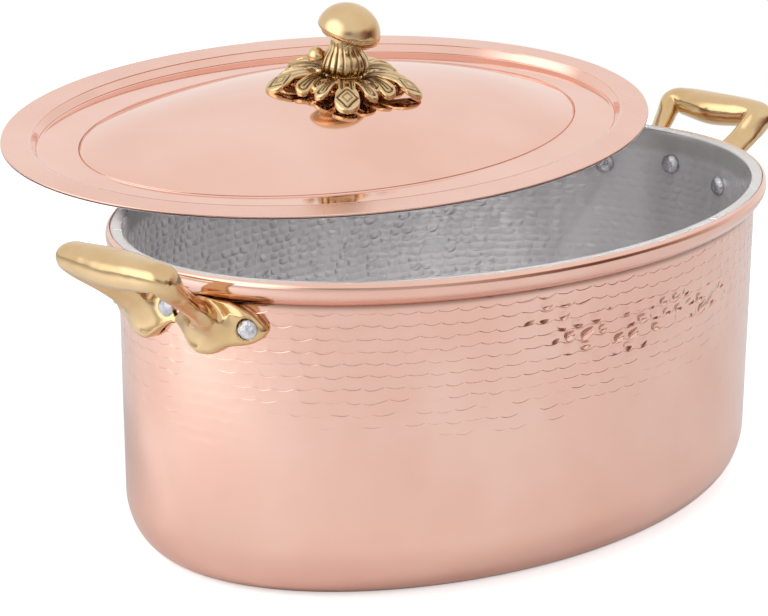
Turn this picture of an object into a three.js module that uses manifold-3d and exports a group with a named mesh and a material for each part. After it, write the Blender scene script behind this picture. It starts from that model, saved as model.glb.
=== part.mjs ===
// Oval copper casserole with a tinned inside, two cast brass handles and a lifted lid.
// Millimetres. The origin is the centre of the underside, +Z is up, +X runs along the long
// axis and the two handles stand at the +X and -X ends.
import * as THREE from 'three';
import { mergeVertices } from 'three/addons/utils/BufferGeometryUtils.js';
import Module from 'manifold-3d';

const wasm = await Module();
wasm.setup();

// Pot: driving sizes
const rimHalfLength = 190;
const rimHalfWidth = 133.3;
const potHeight = 149.5;
const copperThickness = 1.6;
const tinThickness = 0.5;
const seam = 0.3;
const wallTaper = 1.7;
const cornerReach = 18;
const cornerHeight = 24.4;

// Lip: the copper edge flares outward and its tinned top rises to a rounded crown
const lipOverhang = 5.7;
const lipRise = 2.2;
const lipDepth = 9.5;
const crownInset = 1.6;
const tinEdgeInset = 2.3;

// Rivets
const shankRadius = 2.6;
const shankClearance = 0.3;
const rivetSpacing = 42.4;
const middleRivetDrop = 15.4;
const sideRivetDrop = 19.6;
const outerHeadRadius = 4.5;
const outerHeadHeight = 2.4;
const innerHeadRadius = 5.2;
const innerHeadHeight = 3.2;

// Handles: a lug plate on the wall and a grip carried by two flattened legs
const lugThickness = 7.2;
const legFootDrop = 21;
const gripReach = 32;
const gripRise = 9;
const gripHalfLength = 29;
const gripHalfDepth = 8.2;
const gripHalfHeight = 7.4;
const gripSwell = 2.4;
const legFootSpread = 20;
const legHalfWidth = 6.6;
const legHalfThickness = 4.2;

// Lid: a flat flange, a recess that drops into the mouth, and a crowned middle
const lidInset = 4.3;
const lidCopperThickness = 1.0;
const lidTinThickness = 0.4;
const flangeWidth = 15.2;
const recessDepth = 4.5;
const recessWall = 2.2;
const recessWidth = 21.3;
const domeStep = 1.6;
const domeHeight = 18.5;
const domeFullness = 1.8;
const crownFlat = 0.12;
const lidShift = [36.9, 108.5];
const lidTurn = -9.6;
const lidTilt = 6.3;
const lidLean = -2.3;

// Finial: a cast mushroom on a rosette of five leaves, held by a screw through the lid
const leafCount = 5;
const finialShift = [2.2, -2];
const leafTurn = -124.6;
const leafReach = 43;
const leafThickness = 2.4;
const leafRoot = 4.5;
const leafArch = 6;
const leafSweep = 0.5;
const lobeDroop = 3.2;
const tipDroop = 1.8;
const rosetteRadius = 10;
const rosetteHeight = 5;
const stalkHeight = 18.8;
const stalkBaseRadius = 8.5;
const stalkBellyRadius = 11.6;
const stalkNeckRadius = 7.4;
const fluteCount = 12;
const fluteDepth = 0.9;
const capRadius = 16.6;
const capHeight = 19;
const capTilt = 17;
const capTiltTurn = 51;
const budRadius = 4.9;
const budTurn = 141;
const budOffset = 13.6;
const budHeight = 13;
const budStemRadius = 2.6;
const screwRadius = 3;
const screwClearance = 0.3;
const screwHeadRadius = 6;
const screwHeadHeight = 3.4;
const washerRadius = 9;
const washerThickness = 1.2;
const stalkBoreDepth = 13;

// Smoothness of the curved faces
const ovalSteps = 48;
const cornerSteps = 4;
const turnSteps = 12;

const copper = new THREE.MeshStandardMaterial({ color: 0xd9a08c, roughness: 0.22, metalness: 1 });
const tin = new THREE.MeshStandardMaterial({ color: 0xb9b7b8, roughness: 0.35, metalness: 1 });
const brass = new THREE.MeshStandardMaterial({ color: 0xcfae73, roughness: 0.25, metalness: 1 });
const rivetMetal = new THREE.MeshStandardMaterial({ color: 0xc4c3c8, roughness: 0.3, metalness: 1 });
const steel = new THREE.MeshStandardMaterial({ color: 0x8d9095, roughness: 0.35, metalness: 1 });

const wallThickness = copperThickness + seam + tinThickness;
const lipWidth = lipOverhang + wallThickness;
const rimTop = potHeight + lipRise;
const lidThickness = lidCopperThickness + seam + lidTinThickness;

// A point of the rim's oval at angle t, moved inward by inset along the oval's own normal
function ovalPoint(t, inset) {
  const normal = new THREE.Vector2(rimHalfWidth * Math.cos(t), rimHalfLength * Math.sin(t)).normalize();
  const point = new THREE.Vector2(rimHalfLength * Math.cos(t), rimHalfWidth * Math.sin(t));
  return { point: point.addScaledVector(normal, -inset), normal };
}

// The point of the wall's outer face below the rim point that lies a given length along the
// rim from the +X end
function wallPoint(along) {
  const step = 0.002 * Math.sign(along);
  let t = 0;
  let walked = 0;
  let here = ovalPoint(t, 0).point;
  while (walked < Math.abs(along)) {
    t += step;
    const next = ovalPoint(t, 0).point;
    walked += next.distanceTo(here);
    here = next;
  }
  return ovalPoint(t, lipOverhang);
}

function bodyFromRows(rows, triangles) {
  const geometry = new THREE.BufferGeometry();
  geometry.setAttribute('position', new THREE.Float32BufferAttribute(rows.flat(), 3));
  geometry.setIndex(triangles);
  geometry.computeVertexNormals();
  return geometry;
}

// A closed body of oval rings. The profile runs from the axis round the section and back to
// the axis. Each entry is [inset, height] or [inset, height, shrink], where shrink pulls the
// ring in towards the axis, which stands at a given place inside the oval.
function ovalBody(profile, bottomHeight, topHeight, axis = [0, 0]) {
  const [axisX, axisY] = axis;
  const rows = [[axisX, axisY, bottomHeight]];
  for (const [inset, height, shrink = 1] of profile) {
    for (let i = 0; i < ovalSteps; i += 1) {
      const { point } = ovalPoint((2 * Math.PI * i) / ovalSteps, inset);
      rows.push([
        THREE.MathUtils.lerp(axisX, point.x, shrink),
        THREE.MathUtils.lerp(axisY, point.y, shrink),
        height,
      ]);
    }
  }
  rows.push([axisX, axisY, topHeight]);
  const last = rows.length - 1;
  const triangles = [];
  for (let i = 0; i < ovalSteps; i += 1) {
    const j = (i + 1) % ovalSteps;
    triangles.push(0, 1 + j, 1 + i);
    for (let ring = 0; ring < profile.length - 1; ring += 1) {
      const low = 1 + ring * ovalSteps;
      const high = low + ovalSteps;
      triangles.push(low + i, low + j, high + j, low + i, high + j, high + i);
    }
    const top = 1 + (profile.length - 1) * ovalSteps;
    triangles.push(top + i, top + j, last);
  }
  return bodyFromRows(rows, triangles);
}

// The rounded bottom corner at a depth inside the pot's outer face, from the floor up
function bottomCorner(depth) {
  const points = [];
  for (let i = 0; i <= cornerSteps; i += 1) {
    const angle = (Math.PI / 2) * (i / cornerSteps);
    points.push([
      lipOverhang + wallTaper + cornerReach - (cornerReach - depth) * Math.sin(angle),
      cornerHeight - (cornerHeight - depth) * Math.cos(angle),
    ]);
  }
  return points;
}

// A closed body skinned over loops of equal length, with a point at each end
function skin(loops) {
  const count = loops[0].length;
  const rows = [];
  const middle = (loop) => {
    const sum = new THREE.Vector3();
    loop.forEach((p) => sum.add(p));
    return sum.divideScalar(count);
  };
  rows.push(middle(loops[0]).toArray());
  loops.forEach((loop) => loop.forEach((p) => rows.push(p.toArray())));
  rows.push(middle(loops[loops.length - 1]).toArray());
  const last = rows.length - 1;
  const triangles = [];
  for (let i = 0; i < count; i += 1) {
    const j = (i + 1) % count;
    triangles.push(0, 1 + j, 1 + i);
    for (let ring = 0; ring < loops.length - 1; ring += 1) {
      const low = 1 + ring * count;
      const high = low + count;
      triangles.push(low + i, low + j, high + j, low + i, high + j, high + i);
    }
    const end = 1 + (loops.length - 1) * count;
    triangles.push(end + i, end + j, last);
  }
  return bodyFromRows(rows, triangles);
}

function toSolid(geometry) {
  const bare = geometry.clone();
  bare.deleteAttribute('normal');
  bare.deleteAttribute('uv');
  const merged = mergeVertices(bare, 1e-4);
  return new wasm.Manifold(new wasm.Mesh({
    numProp: 3,
    vertProperties: new Float32Array(merged.attributes.position.array),
    triVerts: new Uint32Array(merged.index.array),
  }));
}

function toGeometry(solid) {
  const mesh = solid.getMesh();
  const geometry = new THREE.BufferGeometry();
  geometry.setAttribute('position', new THREE.Float32BufferAttribute(mesh.vertProperties, 3));
  geometry.setIndex(Array.from(mesh.triVerts));
  geometry.computeVertexNormals();
  return geometry;
}

function namedMesh(name, geometry, material) {
  const mesh = new THREE.Mesh(geometry, material);
  mesh.name = name;
  return mesh;
}

// Pot wall and lip
function lipTopHeight(inset) {
  return potHeight + (lipRise * (lipWidth - inset)) / (lipWidth - crownInset);
}

// The outside of the pot from the underside up to the crown, grown outward by a clearance
function potOutside(grow = 0) {
  return [
    ...bottomCorner(-grow),
    [lipOverhang - grow, potHeight - lipDepth],
    [lipOverhang * 0.45 - grow, potHeight - lipDepth * 0.72],
    [0.5 - grow, potHeight - lipDepth * 0.42],
    [-grow, potHeight - lipDepth * 0.16],
    [0.35 - grow, potHeight + lipRise * 0.4],
    [crownInset - grow * 0.4, rimTop + grow],
  ];
}

function potShell() {
  const inner = lipOverhang + copperThickness;
  const underTin = tinThickness + seam;
  const edge = tinEdgeInset - seam;
  return ovalBody([
    ...potOutside(),
    [edge, rimTop],
    [edge, lipTopHeight(edge) - underTin],
    [inner, lipTopHeight(inner) - underTin - 0.6],
    [inner, potHeight - lipDepth],
    ...bottomCorner(copperThickness).reverse(),
  ], 0, copperThickness);
}

function potLining() {
  const outer = lipOverhang + copperThickness + seam;
  return ovalBody([
    ...bottomCorner(copperThickness + seam),
    [outer, potHeight - lipDepth],
    [outer, lipTopHeight(outer) - tinThickness - 0.6],
    [tinEdgeInset, lipTopHeight(tinEdgeInset) - tinThickness],
    [tinEdgeInset, lipTopHeight(tinEdgeInset) - 0.15],
    [tinEdgeInset + 0.6, lipTopHeight(tinEdgeInset + 0.6)],
    [lipWidth - 0.8, lipTopHeight(lipWidth - 0.8)],
    [lipWidth, potHeight - 0.7],
    [lipWidth, potHeight - lipDepth],
    ...bottomCorner(wallThickness).reverse(),
  ], copperThickness + seam, wallThickness);
}

// Rivets: each place is a length along the rim from the end and a drop from the rim
const rivetPlaces = [
  { along: -rivetSpacing, drop: sideRivetDrop },
  { along: 0, drop: middleRivetDrop },
  { along: rivetSpacing, drop: sideRivetDrop },
];

const rivetFrames = rivetPlaces.map(({ along, drop }) => {
  const wall = wallPoint(along);
  const outward = new THREE.Vector3(wall.normal.x, wall.normal.y, 0);
  const foot = new THREE.Vector3(wall.point.x, wall.point.y, potHeight - drop);
  const turned = new THREE.Quaternion().setFromUnitVectors(new THREE.Vector3(0, 1, 0), outward);
  return new THREE.Matrix4().compose(foot, turned, new THREE.Vector3(1, 1, 1));
});

// Distances along a rivet's axis from the wall's outer face. The inner head's flat back
// bridges the hollow of the curved wall.
const headBridge = 0.55;
const innerSeat = -(wallThickness + seam + headBridge);
const outerSeat = lugThickness - 1.2;

function rivetBody() {
  const profile = [[0, innerSeat - innerHeadHeight]];
  for (let i = 1; i <= 3; i += 1) {
    const angle = (i / 3) * Math.PI * 0.5;
    profile.push([innerHeadRadius * Math.sin(angle), innerSeat - innerHeadHeight * Math.cos(angle)]);
  }
  profile.push([shankRadius, innerSeat]);
  profile.push([shankRadius, outerSeat + seam]);
  profile.push([outerHeadRadius, outerSeat + seam]);
  profile.push([outerHeadRadius, outerSeat + outerHeadHeight * 0.55]);
  profile.push([outerHeadRadius * 0.72, outerSeat + outerHeadHeight * 0.92]);
  profile.push([0, outerSeat + outerHeadHeight]);
  return new THREE.LatheGeometry(profile.map(([x, y]) => new THREE.Vector2(x, y)), turnSteps);
}

// A round cutter along a rivet's axis
function rivetCutter(frame, radius, from, to) {
  const cutter = new THREE.CylinderGeometry(radius, radius, to - from, turnSteps);
  cutter.translate(0, (from + to) / 2, 0);
  cutter.applyMatrix4(frame);
  return toSolid(cutter);
}

function drillForRivets(solid) {
  let drilled = solid;
  for (const turned of [0, Math.PI]) {
    const end = new THREE.Matrix4().makeRotationZ(turned);
    for (const frame of rivetFrames) {
      const place = end.clone().multiply(frame);
      drilled = drilled.subtract(rivetCutter(place, shankRadius + shankClearance, -30, 30));
    }
  }
  return drilled;
}

// Half of the lug's outline, from its middle arch over the lobe to the rounded tip. Each row
// is the length along the rim, the drop of the upper edge and the drop of the lower edge.
const lugOutline = [
  [0, 8.6, 23.8],
  [2.8, 8.6, 24.2],
  [8.3, 8.6, 27.5],
  [13.3, 8.6, 32.2],
  [18.3, 8.6, 34.3],
  [25.5, 8.6, 33.2],
  [32.3, 8.9, 29.4],
  [40.3, 11.4, 27.8],
  [44, 13.5, 26.7],
  [46.7, 15.6, 25.4],
  [49, 18, 23.8],
  [50.4, 20.4, 21.6],
];

// The lug plate is skinned over upright sections that follow the oval wall
function lugPlate() {
  const mirrored = lugOutline.slice(1).reverse().map(([along, ...drops]) => [-along, ...drops]);
  const tip = lugOutline[lugOutline.length - 1][0];
  const ribs = 8;
  const loops = [...mirrored, ...lugOutline].map(([along, topDrop, bottomDrop]) => {
    const wall = wallPoint(along);
    const thickness = lugThickness * Math.sqrt(Math.max(1 - Math.abs(along / tip) ** 8, 0.2));
    const top = potHeight - topDrop;
    const bottom = potHeight - bottomDrop;
    const place = (proud, height) => new THREE.Vector3(
      wall.point.x + wall.normal.x * proud,
      wall.point.y + wall.normal.y * proud,
      height,
    );
    const loop = [];
    for (let k = 0; k < ribs; k += 1) {
      const angle = (k / (ribs - 1)) * Math.PI;
      const height = (top + bottom) / 2 - ((top - bottom) / 2) * Math.cos(angle);
      loop.push(place(thickness * Math.min(1, 1.25 * Math.sin(angle) ** 0.7), height));
    }
    return [...loop, place(-copperThickness, top), place(-copperThickness, bottom)].reverse();
  });
  return toSolid(skin(loops));
}

// One oval section of the grip or a leg
function barSection(centre, wide, along, halfWide, halfThin) {
  const across = wide.clone().addScaledVector(along, -wide.dot(along)).normalize();
  const thin = new THREE.Vector3().crossVectors(along, across);
  const loop = [];
  const sides = 10;
  for (let i = 0; i < sides; i += 1) {
    const angle = (2 * Math.PI * i) / sides;
    loop.push(centre.clone()
      .addScaledVector(across, halfWide * Math.cos(angle))
      .addScaledVector(thin, halfThin * Math.sin(angle)));
  }
  return loop;
}

function gripAndLegs() {
  const gripX = rimHalfLength + gripReach;
  const gripZ = potHeight + gripRise;
  const footX = wallPoint(legFootSpread).point.x;
  const footZ = potHeight - legFootDrop;
  const legAt = (share) => [
    THREE.MathUtils.lerp(footX, gripX - 3, share),
    THREE.MathUtils.lerp(legFootSpread, gripHalfLength, share),
    THREE.MathUtils.lerp(footZ, gripZ - 3, share),
  ];
  const half = [
    { at: [footX, legFootSpread - 1, footZ - 3], wide: [0, 1, 0], size: [10, 6] },
    { at: legAt(0.28), wide: [0.45, 0.9, 0], size: [legHalfWidth + 1.6, 5] },
    { at: legAt(0.52), wide: [0.7, 0.7, 0], size: [legHalfWidth, legHalfThickness] },
    { at: legAt(0.78), wide: [0.75, 0.6, 0.1], size: [legHalfWidth, legHalfThickness + 0.8] },
    {
      at: [gripX - 2, gripHalfLength - 1, gripZ - 0.8],
      wide: [1, 0.2, 0],
      size: [gripHalfDepth - 0.6, gripHalfHeight - 1.2],
    },
    {
      at: [gripX, gripHalfLength - 9, gripZ],
      wide: [1, 0, 0],
      size: [gripHalfDepth, gripHalfHeight - 0.2],
    },
  ];
  const middle = [
    {
      at: [gripX - gripSwell * 0.5, 0, gripZ - gripSwell * 0.3],
      wide: [1, 0, 0],
      size: [gripHalfDepth + gripSwell, gripHalfHeight + gripSwell * 0.4],
    },
  ];
  const other = half.map(({ at, wide, size }) => ({
    at: [at[0], -at[1], at[2]], wide: [wide[0], -wide[1], wide[2]], size, flip: true,
  })).reverse();
  const stations = [...half, ...middle, ...other];
  const path = new THREE.CatmullRomCurve3(stations.map(({ at }) => new THREE.Vector3(...at)));
  const between = 3;
  const loops = [];
  for (let i = 0; i < stations.length - 1; i += 1) {
    for (let k = 0; k < between; k += 1) {
      loops.push([i + k / between]);
    }
  }
  loops.push([stations.length - 1]);
  const sections = loops.map(([place]) => {
    const low = Math.min(Math.floor(place), stations.length - 2);
    const share = place - low;
    const a = stations[low];
    const b = stations[low + 1];
    const along = path.getTangent(place / (stations.length - 1));
    const wideA = new THREE.Vector3(...a.wide).multiplyScalar(a.flip ? -1 : 1);
    const wideB = new THREE.Vector3(...b.wide).multiplyScalar(b.flip ? -1 : 1);
    if (wideA.dot(wideB) < 0) {
      wideB.negate();
    }
    return {
      centre: path.getPoint(place / (stations.length - 1)),
      wide: wideA.lerp(wideB, share),
      along,
      halfWide: THREE.MathUtils.lerp(a.size[0], b.size[0], share),
      halfThin: THREE.MathUtils.lerp(a.size[1], b.size[1], share),
    };
  });
  let previous = null;
  const skinned = sections.map(({ centre, wide, along, halfWide, halfThin }) => {
    if (previous && wide.dot(previous) < 0) {
      wide.negate();
    }
    previous = wide.clone();
    return barSection(centre, wide, along, halfWide, halfThin);
  });
  return toSolid(skin(skinned));
}

function handleGeometry() {
  const outside = toSolid(ovalBody(
    [...potOutside(seam), [rimHalfWidth * 0.5, rimTop + seam]],
    -seam,
    rimTop + seam,
  ));
  let handle = lugPlate().add(gripAndLegs()).subtract(outside);
  for (const frame of rivetFrames) {
    handle = handle.subtract(rivetCutter(frame, shankRadius + shankClearance, -30, 30));
    handle = handle.subtract(rivetCutter(frame, outerHeadRadius + 0.6, outerSeat, outerSeat + 12));
  }
  return toGeometry(handle);
}

// Lid: height of the crowned middle above the flange, from 0 at its centre to 1 at its edge.
// The centre is left flat as a seat for the finial.
function domeTop(share) {
  const edge = -recessDepth + domeStep;
  const past = (share - crownFlat) / (1 - crownFlat);
  return domeHeight - (domeHeight - edge) * past ** domeFullness;
}

const recessStart = lidInset + flangeWidth;
const recessFloor = recessStart + recessWall;
const domeStart = recessFloor + recessWidth;
const domeEdge = domeStart + domeStep;

// The lid's face at a depth below its top, as rings from the edge inward
function lidFace(depth) {
  const drop = depth * 0.25;
  const rings = [
    [lidInset, -depth],
    [recessStart - drop, -depth],
    [recessFloor - drop, -recessDepth - depth],
    [domeStart + drop, -recessDepth - depth],
    [domeEdge + drop, -recessDepth + domeStep - depth],
  ];
  for (const share of [0.86, 0.68, 0.48, 0.28, crownFlat]) {
    rings.push([domeEdge + drop, domeTop(share) - depth, share]);
  }
  return rings;
}

// A sheet of the lid between two depths, from its underside's middle out and back over the top
function lidSheet(topDepth, bottomDepth) {
  return ovalBody(
    [...lidFace(bottomDepth).reverse(), ...lidFace(topDepth)],
    domeHeight - bottomDepth,
    domeHeight - topDepth,
    finialShift,
  );
}

// Moves a piece of the lid so that the finial's axis becomes its own
function aboutFinial(solid) {
  return solid.translate([-finialShift[0], -finialShift[1], 0]);
}

function uprightCylinder(radius, from, to, segments = turnSteps) {
  const cylinder = new THREE.CylinderGeometry(radius, radius, to - from, segments);
  cylinder.rotateX(Math.PI / 2);
  cylinder.translate(0, 0, (from + to) / 2);
  return cylinder;
}

function drillForScrew(solid, from, to) {
  return solid.subtract(toSolid(uprightCylinder(screwRadius + screwClearance, from, to)));
}

// Height to which the turned and tilted lid settles: its underside just clears the rim
function restingHeight(turned) {
  const underside = (inset) => {
    if (inset < lidInset) {
      return Infinity;
    }
    if (inset < recessStart - lidThickness * 0.25) {
      return -lidThickness;
    }
    if (inset < domeStart + lidThickness * 0.25) {
      return -lidThickness - recessDepth;
    }
    return -lidThickness - recessDepth + (inset - domeStart) * 0.2;
  };
  const edge = [];
  for (let i = 0; i < 360; i += 1) {
    edge.push(ovalPoint((2 * Math.PI * i) / 360, 0).point);
  }
  const flat = new THREE.Matrix4().makeRotationFromEuler(turned);
  const back = flat.clone().transpose();
  let height = 0;
  for (let pass = 0; pass < 3; pass += 1) {
    let needed = -Infinity;
    for (let i = 0; i < 360; i += 1) {
      for (const [inset, rimHeight] of [[0.3, rimTop], [crownInset, rimTop], [lipWidth, potHeight]]) {
        const { point } = ovalPoint((2 * Math.PI * i) / 360, inset);
        const local = new THREE.Vector3(
          point.x - lidShift[0],
          point.y - lidShift[1],
          rimHeight - height,
        ).applyMatrix4(back);
        const outside = (local.x / rimHalfLength) ** 2 + (local.y / rimHalfWidth) ** 2 > 1;
        const nearest = Math.min(...edge.map((p) => Math.hypot(p.x - local.x, p.y - local.y)));
        const under = underside(outside ? -1 : nearest);
        if (under !== Infinity) {
          needed = Math.max(needed, local.z - under);
        }
      }
    }
    height += needed + seam;
  }
  return height;
}

// Rosette leaf: half widths along the middle rib give two swept side lobes and a tip lobe
const leafOutline = [
  [0.1, 4],
  [0.26, 9],
  [0.38, 13.5],
  [0.47, 17.4],
  [0.53, 16],
  [0.59, 9],
  [0.66, 6.8],
  [0.76, 8],
  [0.86, 7.4],
  [0.94, 5.2],
  [1, 2.6],
];

function leafBody() {
  const across = [-1, -0.55, 0, 0.55, 1];
  const loops = leafOutline.map(([share, half]) => {
    const rib = (side, under) => {
      const out = leafReach * share + Math.abs(side) * half * leafSweep * (1 - share);
      const lift = leafArch * Math.sin(Math.PI * Math.min(out / leafReach, 1) ** 1.3);
      const root = leafRoot - (leafRoot + tipDroop) * (out / leafReach) ** 1.5;
      const groove = side === 0 ? 0.5 : 0;
      const droop = lobeDroop * Math.abs((side * half) / 15) ** 2;
      const edge = leafThickness * (Math.abs(side) === 1 ? 0.75 : 1);
      const height = root + lift - droop - groove - (under ? edge : 0);
      return new THREE.Vector3(out, side * half, height);
    };
    const top = across.map((side) => rib(side, false));
    const below = [1, 0, -1].map((side) => rib(side, true));
    return [...top, ...below].reverse();
  });
  return skin(loops);
}

function leafRosette() {
  const hub = uprightCylinder(rosetteRadius, 0, rosetteHeight, 20);
  let rosette = toSolid(hub);
  for (let i = 0; i < leafCount; i += 1) {
    const leaf = leafBody();
    leaf.rotateZ(THREE.MathUtils.degToRad(leafTurn + (360 * i) / leafCount));
    rosette = rosette.add(toSolid(leaf));
  }
  return rosette;
}

// Fluted stalk, turned with shallow grooves between its ribs
function flutedStalk(grow = 0) {
  const rows = [
    [0, stalkBaseRadius],
    [0.18, stalkBellyRadius * 0.96],
    [0.34, stalkBellyRadius],
    [0.55, stalkBellyRadius * 0.9],
    [0.78, stalkNeckRadius * 1.08],
    [1, stalkNeckRadius],
  ];
  const points = fluteCount * 2;
  const loops = rows.map(([share, radius]) => {
    const loop = [];
    for (let i = 0; i < points; i += 1) {
      const angle = (2 * Math.PI * i) / points;
      const flute = i % 2 === 0 ? 0 : fluteDepth * Math.sin(Math.PI * Math.min(share + 0.2, 1));
      loop.push(new THREE.Vector3(
        (radius + grow - flute) * Math.cos(angle),
        (radius + grow - flute) * Math.sin(angle),
        share * stalkHeight,
      ));
    }
    return loop;
  });
  return toSolid(skin(loops));
}

function capProfile(radius, height) {
  const profile = [[0, 0], [radius * 0.55, -0.04 * height], [radius * 0.88, 0.03 * height]];
  for (let i = 0; i <= 6; i += 1) {
    const angle = THREE.MathUtils.degToRad(-8 + (98 * i) / 6);
    const wide = radius * Math.cos(angle);
    profile.push([Math.max(wide, 0), height * 0.26 + height * 0.74 * Math.sin(angle)]);
  }
  profile[profile.length - 1][0] = 0;
  return profile.map(([x, y]) => new THREE.Vector2(x, y));
}

function mushroomCap(radius, height, segments) {
  const cap = new THREE.LatheGeometry(capProfile(radius, height), segments);
  cap.rotateX(Math.PI / 2);
  return cap;
}

// Rivets and handles stand at both ends, so each set is built once and turned half round
const potGroup = new THREE.Group();
potGroup.add(namedMesh('pot_shell', toGeometry(drillForRivets(toSolid(potShell()))), copper));
potGroup.add(namedMesh('pot_lining', toGeometry(drillForRivets(toSolid(potLining()))), tin));

const handle = handleGeometry();
const rivetNames = ['front', 'middle', 'back'];
for (const [side, angle] of [['right', 0], ['left', Math.PI]]) {
  const end = new THREE.Group();
  end.rotation.z = angle;
  end.add(namedMesh(`handle_${side}`, handle, brass));
  rivetFrames.forEach((frame, i) => {
    const place = side === 'right' ? rivetNames[i] : rivetNames[2 - i];
    const rivet = namedMesh(`rivet_${side}_${place}`, rivetBody(), rivetMetal);
    rivet.applyMatrix4(frame);
    end.add(rivet);
  });
  potGroup.add(end);
}

const lidGroup = new THREE.Group();
lidGroup.rotation.order = 'YXZ';
lidGroup.rotation.set(
  THREE.MathUtils.degToRad(lidTilt),
  THREE.MathUtils.degToRad(lidLean),
  THREE.MathUtils.degToRad(lidTurn),
);
lidGroup.position.set(lidShift[0], lidShift[1], restingHeight(lidGroup.rotation));
lidGroup.position.add(new THREE.Vector3(...finialShift, 0).applyEuler(lidGroup.rotation));

// The crown, and with it the finial, stands a little off the middle of the lid, so all the
// lid's pieces are placed about the finial's axis
const lidCopper = aboutFinial(toSolid(lidSheet(0, lidCopperThickness)));
const lidTin = aboutFinial(toSolid(lidSheet(lidCopperThickness + seam, lidThickness)));
lidGroup.add(namedMesh('lid_shell', toGeometry(drillForScrew(lidCopper, 0, 40)), copper));
lidGroup.add(namedMesh('lid_lining', toGeometry(drillForScrew(lidTin, 0, 40)), tin));

// Finial pieces stack up from the lid's crown and are clamped by the screw from below
const rosetteFoot = domeHeight + seam;
const stalkFoot = rosetteFoot + rosetteHeight + seam;
const stalkTop = stalkFoot + stalkHeight;
const budFoot = new THREE.Matrix4().makeRotationZ(THREE.MathUtils.degToRad(budTurn));

const leaves = leafRosette().translate([0, 0, rosetteFoot]);
const lidGuard = aboutFinial(toSolid(lidSheet(-seam, 20)));
const stalkGuard = toSolid(uprightCylinder(stalkBellyRadius + 1, stalkFoot - seam, stalkTop, 24));
const rosetteSolid = drillForScrew(leaves.subtract(lidGuard).subtract(stalkGuard), 0, 60);
lidGroup.add(namedMesh('leaf_rosette', toGeometry(rosetteSolid), brass));

const budStem = new THREE.CylinderGeometry(budStemRadius, budStemRadius * 0.8, budHeight, 10);
budStem.rotateX(Math.PI / 2);
budStem.rotateY(THREE.MathUtils.degToRad(38));
budStem.translate(budOffset * 0.68, 0, budHeight * 0.66);
const budCap = mushroomCap(budRadius, budRadius * 1.5, 12);
budCap.rotateY(THREE.MathUtils.degToRad(20));
budCap.translate(budOffset, 0, budHeight - budRadius * 0.5);
const bud = toSolid(budStem).add(toSolid(budCap)).transform(budFoot.elements);
const stalkSolid = flutedStalk().add(bud).translate([0, 0, stalkFoot]);
const boredStalk = drillForScrew(stalkSolid, 0, stalkFoot + stalkBoreDepth);
lidGroup.add(namedMesh('finial_stalk', toGeometry(boredStalk), brass));

const capLean = THREE.MathUtils.degToRad(capTilt);
const capAxis = new THREE.Vector3(1, 0, 0).applyAxisAngle(
  new THREE.Vector3(0, 0, 1),
  THREE.MathUtils.degToRad(capTiltTurn),
);
const cap = mushroomCap(capRadius, capHeight, 24);
cap.applyQuaternion(new THREE.Quaternion().setFromAxisAngle(capAxis, capLean));
cap.translate(0, 0, stalkTop);
const capSeat = flutedStalk(seam).translate([0, 0, stalkFoot + seam]);
const capSolid = toSolid(cap).subtract(capSeat);
lidGroup.add(namedMesh('finial_cap', toGeometry(capSolid), brass));

const lidUnder = domeHeight - lidThickness - seam;
const washerProfile = [
  [screwRadius + screwClearance, -washerThickness],
  [washerRadius, -washerThickness],
  [washerRadius, 0],
  [screwRadius + screwClearance, 0],
  [screwRadius + screwClearance, -washerThickness],
];
const washerBody = new THREE.LatheGeometry(washerProfile.map(([x, y]) => new THREE.Vector2(x, y)), 20);
washerBody.rotateX(Math.PI / 2);
const washer = namedMesh('finial_washer', washerBody, steel);
washer.position.z = lidUnder;
lidGroup.add(washer);

const headTop = lidUnder - washerThickness - seam;
const screwTip = stalkFoot + stalkBoreDepth - 2;
const screwProfile = [
  [0, headTop - screwHeadHeight],
  [screwHeadRadius * 0.6, headTop - screwHeadHeight * 0.9],
  [screwHeadRadius, headTop - screwHeadHeight * 0.4],
  [screwHeadRadius, headTop],
  [screwRadius, headTop],
  [screwRadius, screwTip],
  [0, screwTip],
];
const screwBody = new THREE.LatheGeometry(screwProfile.map(([x, y]) => new THREE.Vector2(x, y)), turnSteps);
screwBody.rotateX(Math.PI / 2);
lidGroup.add(namedMesh('finial_screw', screwBody, steel));

const casserole = new THREE.Group();
casserole.add(potGroup, lidGroup);

export default casserole;
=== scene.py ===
# %% [markdown]
# # An oval copper casserole
#
# The pot is raised from copper sheet, planished with rows of hammer marks, tinned inside and
# fitted with two cast brass handles on rivets. Its lid rests aslant on the rim. This file
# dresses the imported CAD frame: it keeps every size of the frame and adds the hammer marks,
# the soft shapes of the castings, the finishes and the light.

import ast
import math

import bpy
import numpy as np
import openvdb
from mathutils import Matrix, Vector


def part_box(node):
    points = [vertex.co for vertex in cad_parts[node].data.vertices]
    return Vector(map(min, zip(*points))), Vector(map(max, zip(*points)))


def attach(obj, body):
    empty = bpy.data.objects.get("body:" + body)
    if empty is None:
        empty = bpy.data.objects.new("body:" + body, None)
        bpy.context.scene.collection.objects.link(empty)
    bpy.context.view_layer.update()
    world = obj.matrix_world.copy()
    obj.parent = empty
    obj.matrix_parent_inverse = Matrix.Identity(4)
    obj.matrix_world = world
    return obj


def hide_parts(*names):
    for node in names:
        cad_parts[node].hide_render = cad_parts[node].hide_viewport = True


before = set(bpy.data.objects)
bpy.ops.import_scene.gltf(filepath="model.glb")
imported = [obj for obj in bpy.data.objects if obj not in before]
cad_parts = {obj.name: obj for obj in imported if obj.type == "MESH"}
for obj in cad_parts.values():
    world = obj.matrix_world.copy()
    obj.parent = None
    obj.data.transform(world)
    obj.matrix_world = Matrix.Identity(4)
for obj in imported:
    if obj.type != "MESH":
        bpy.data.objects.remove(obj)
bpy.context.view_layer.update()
scene = bpy.context.scene
MM = 0.001

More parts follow.
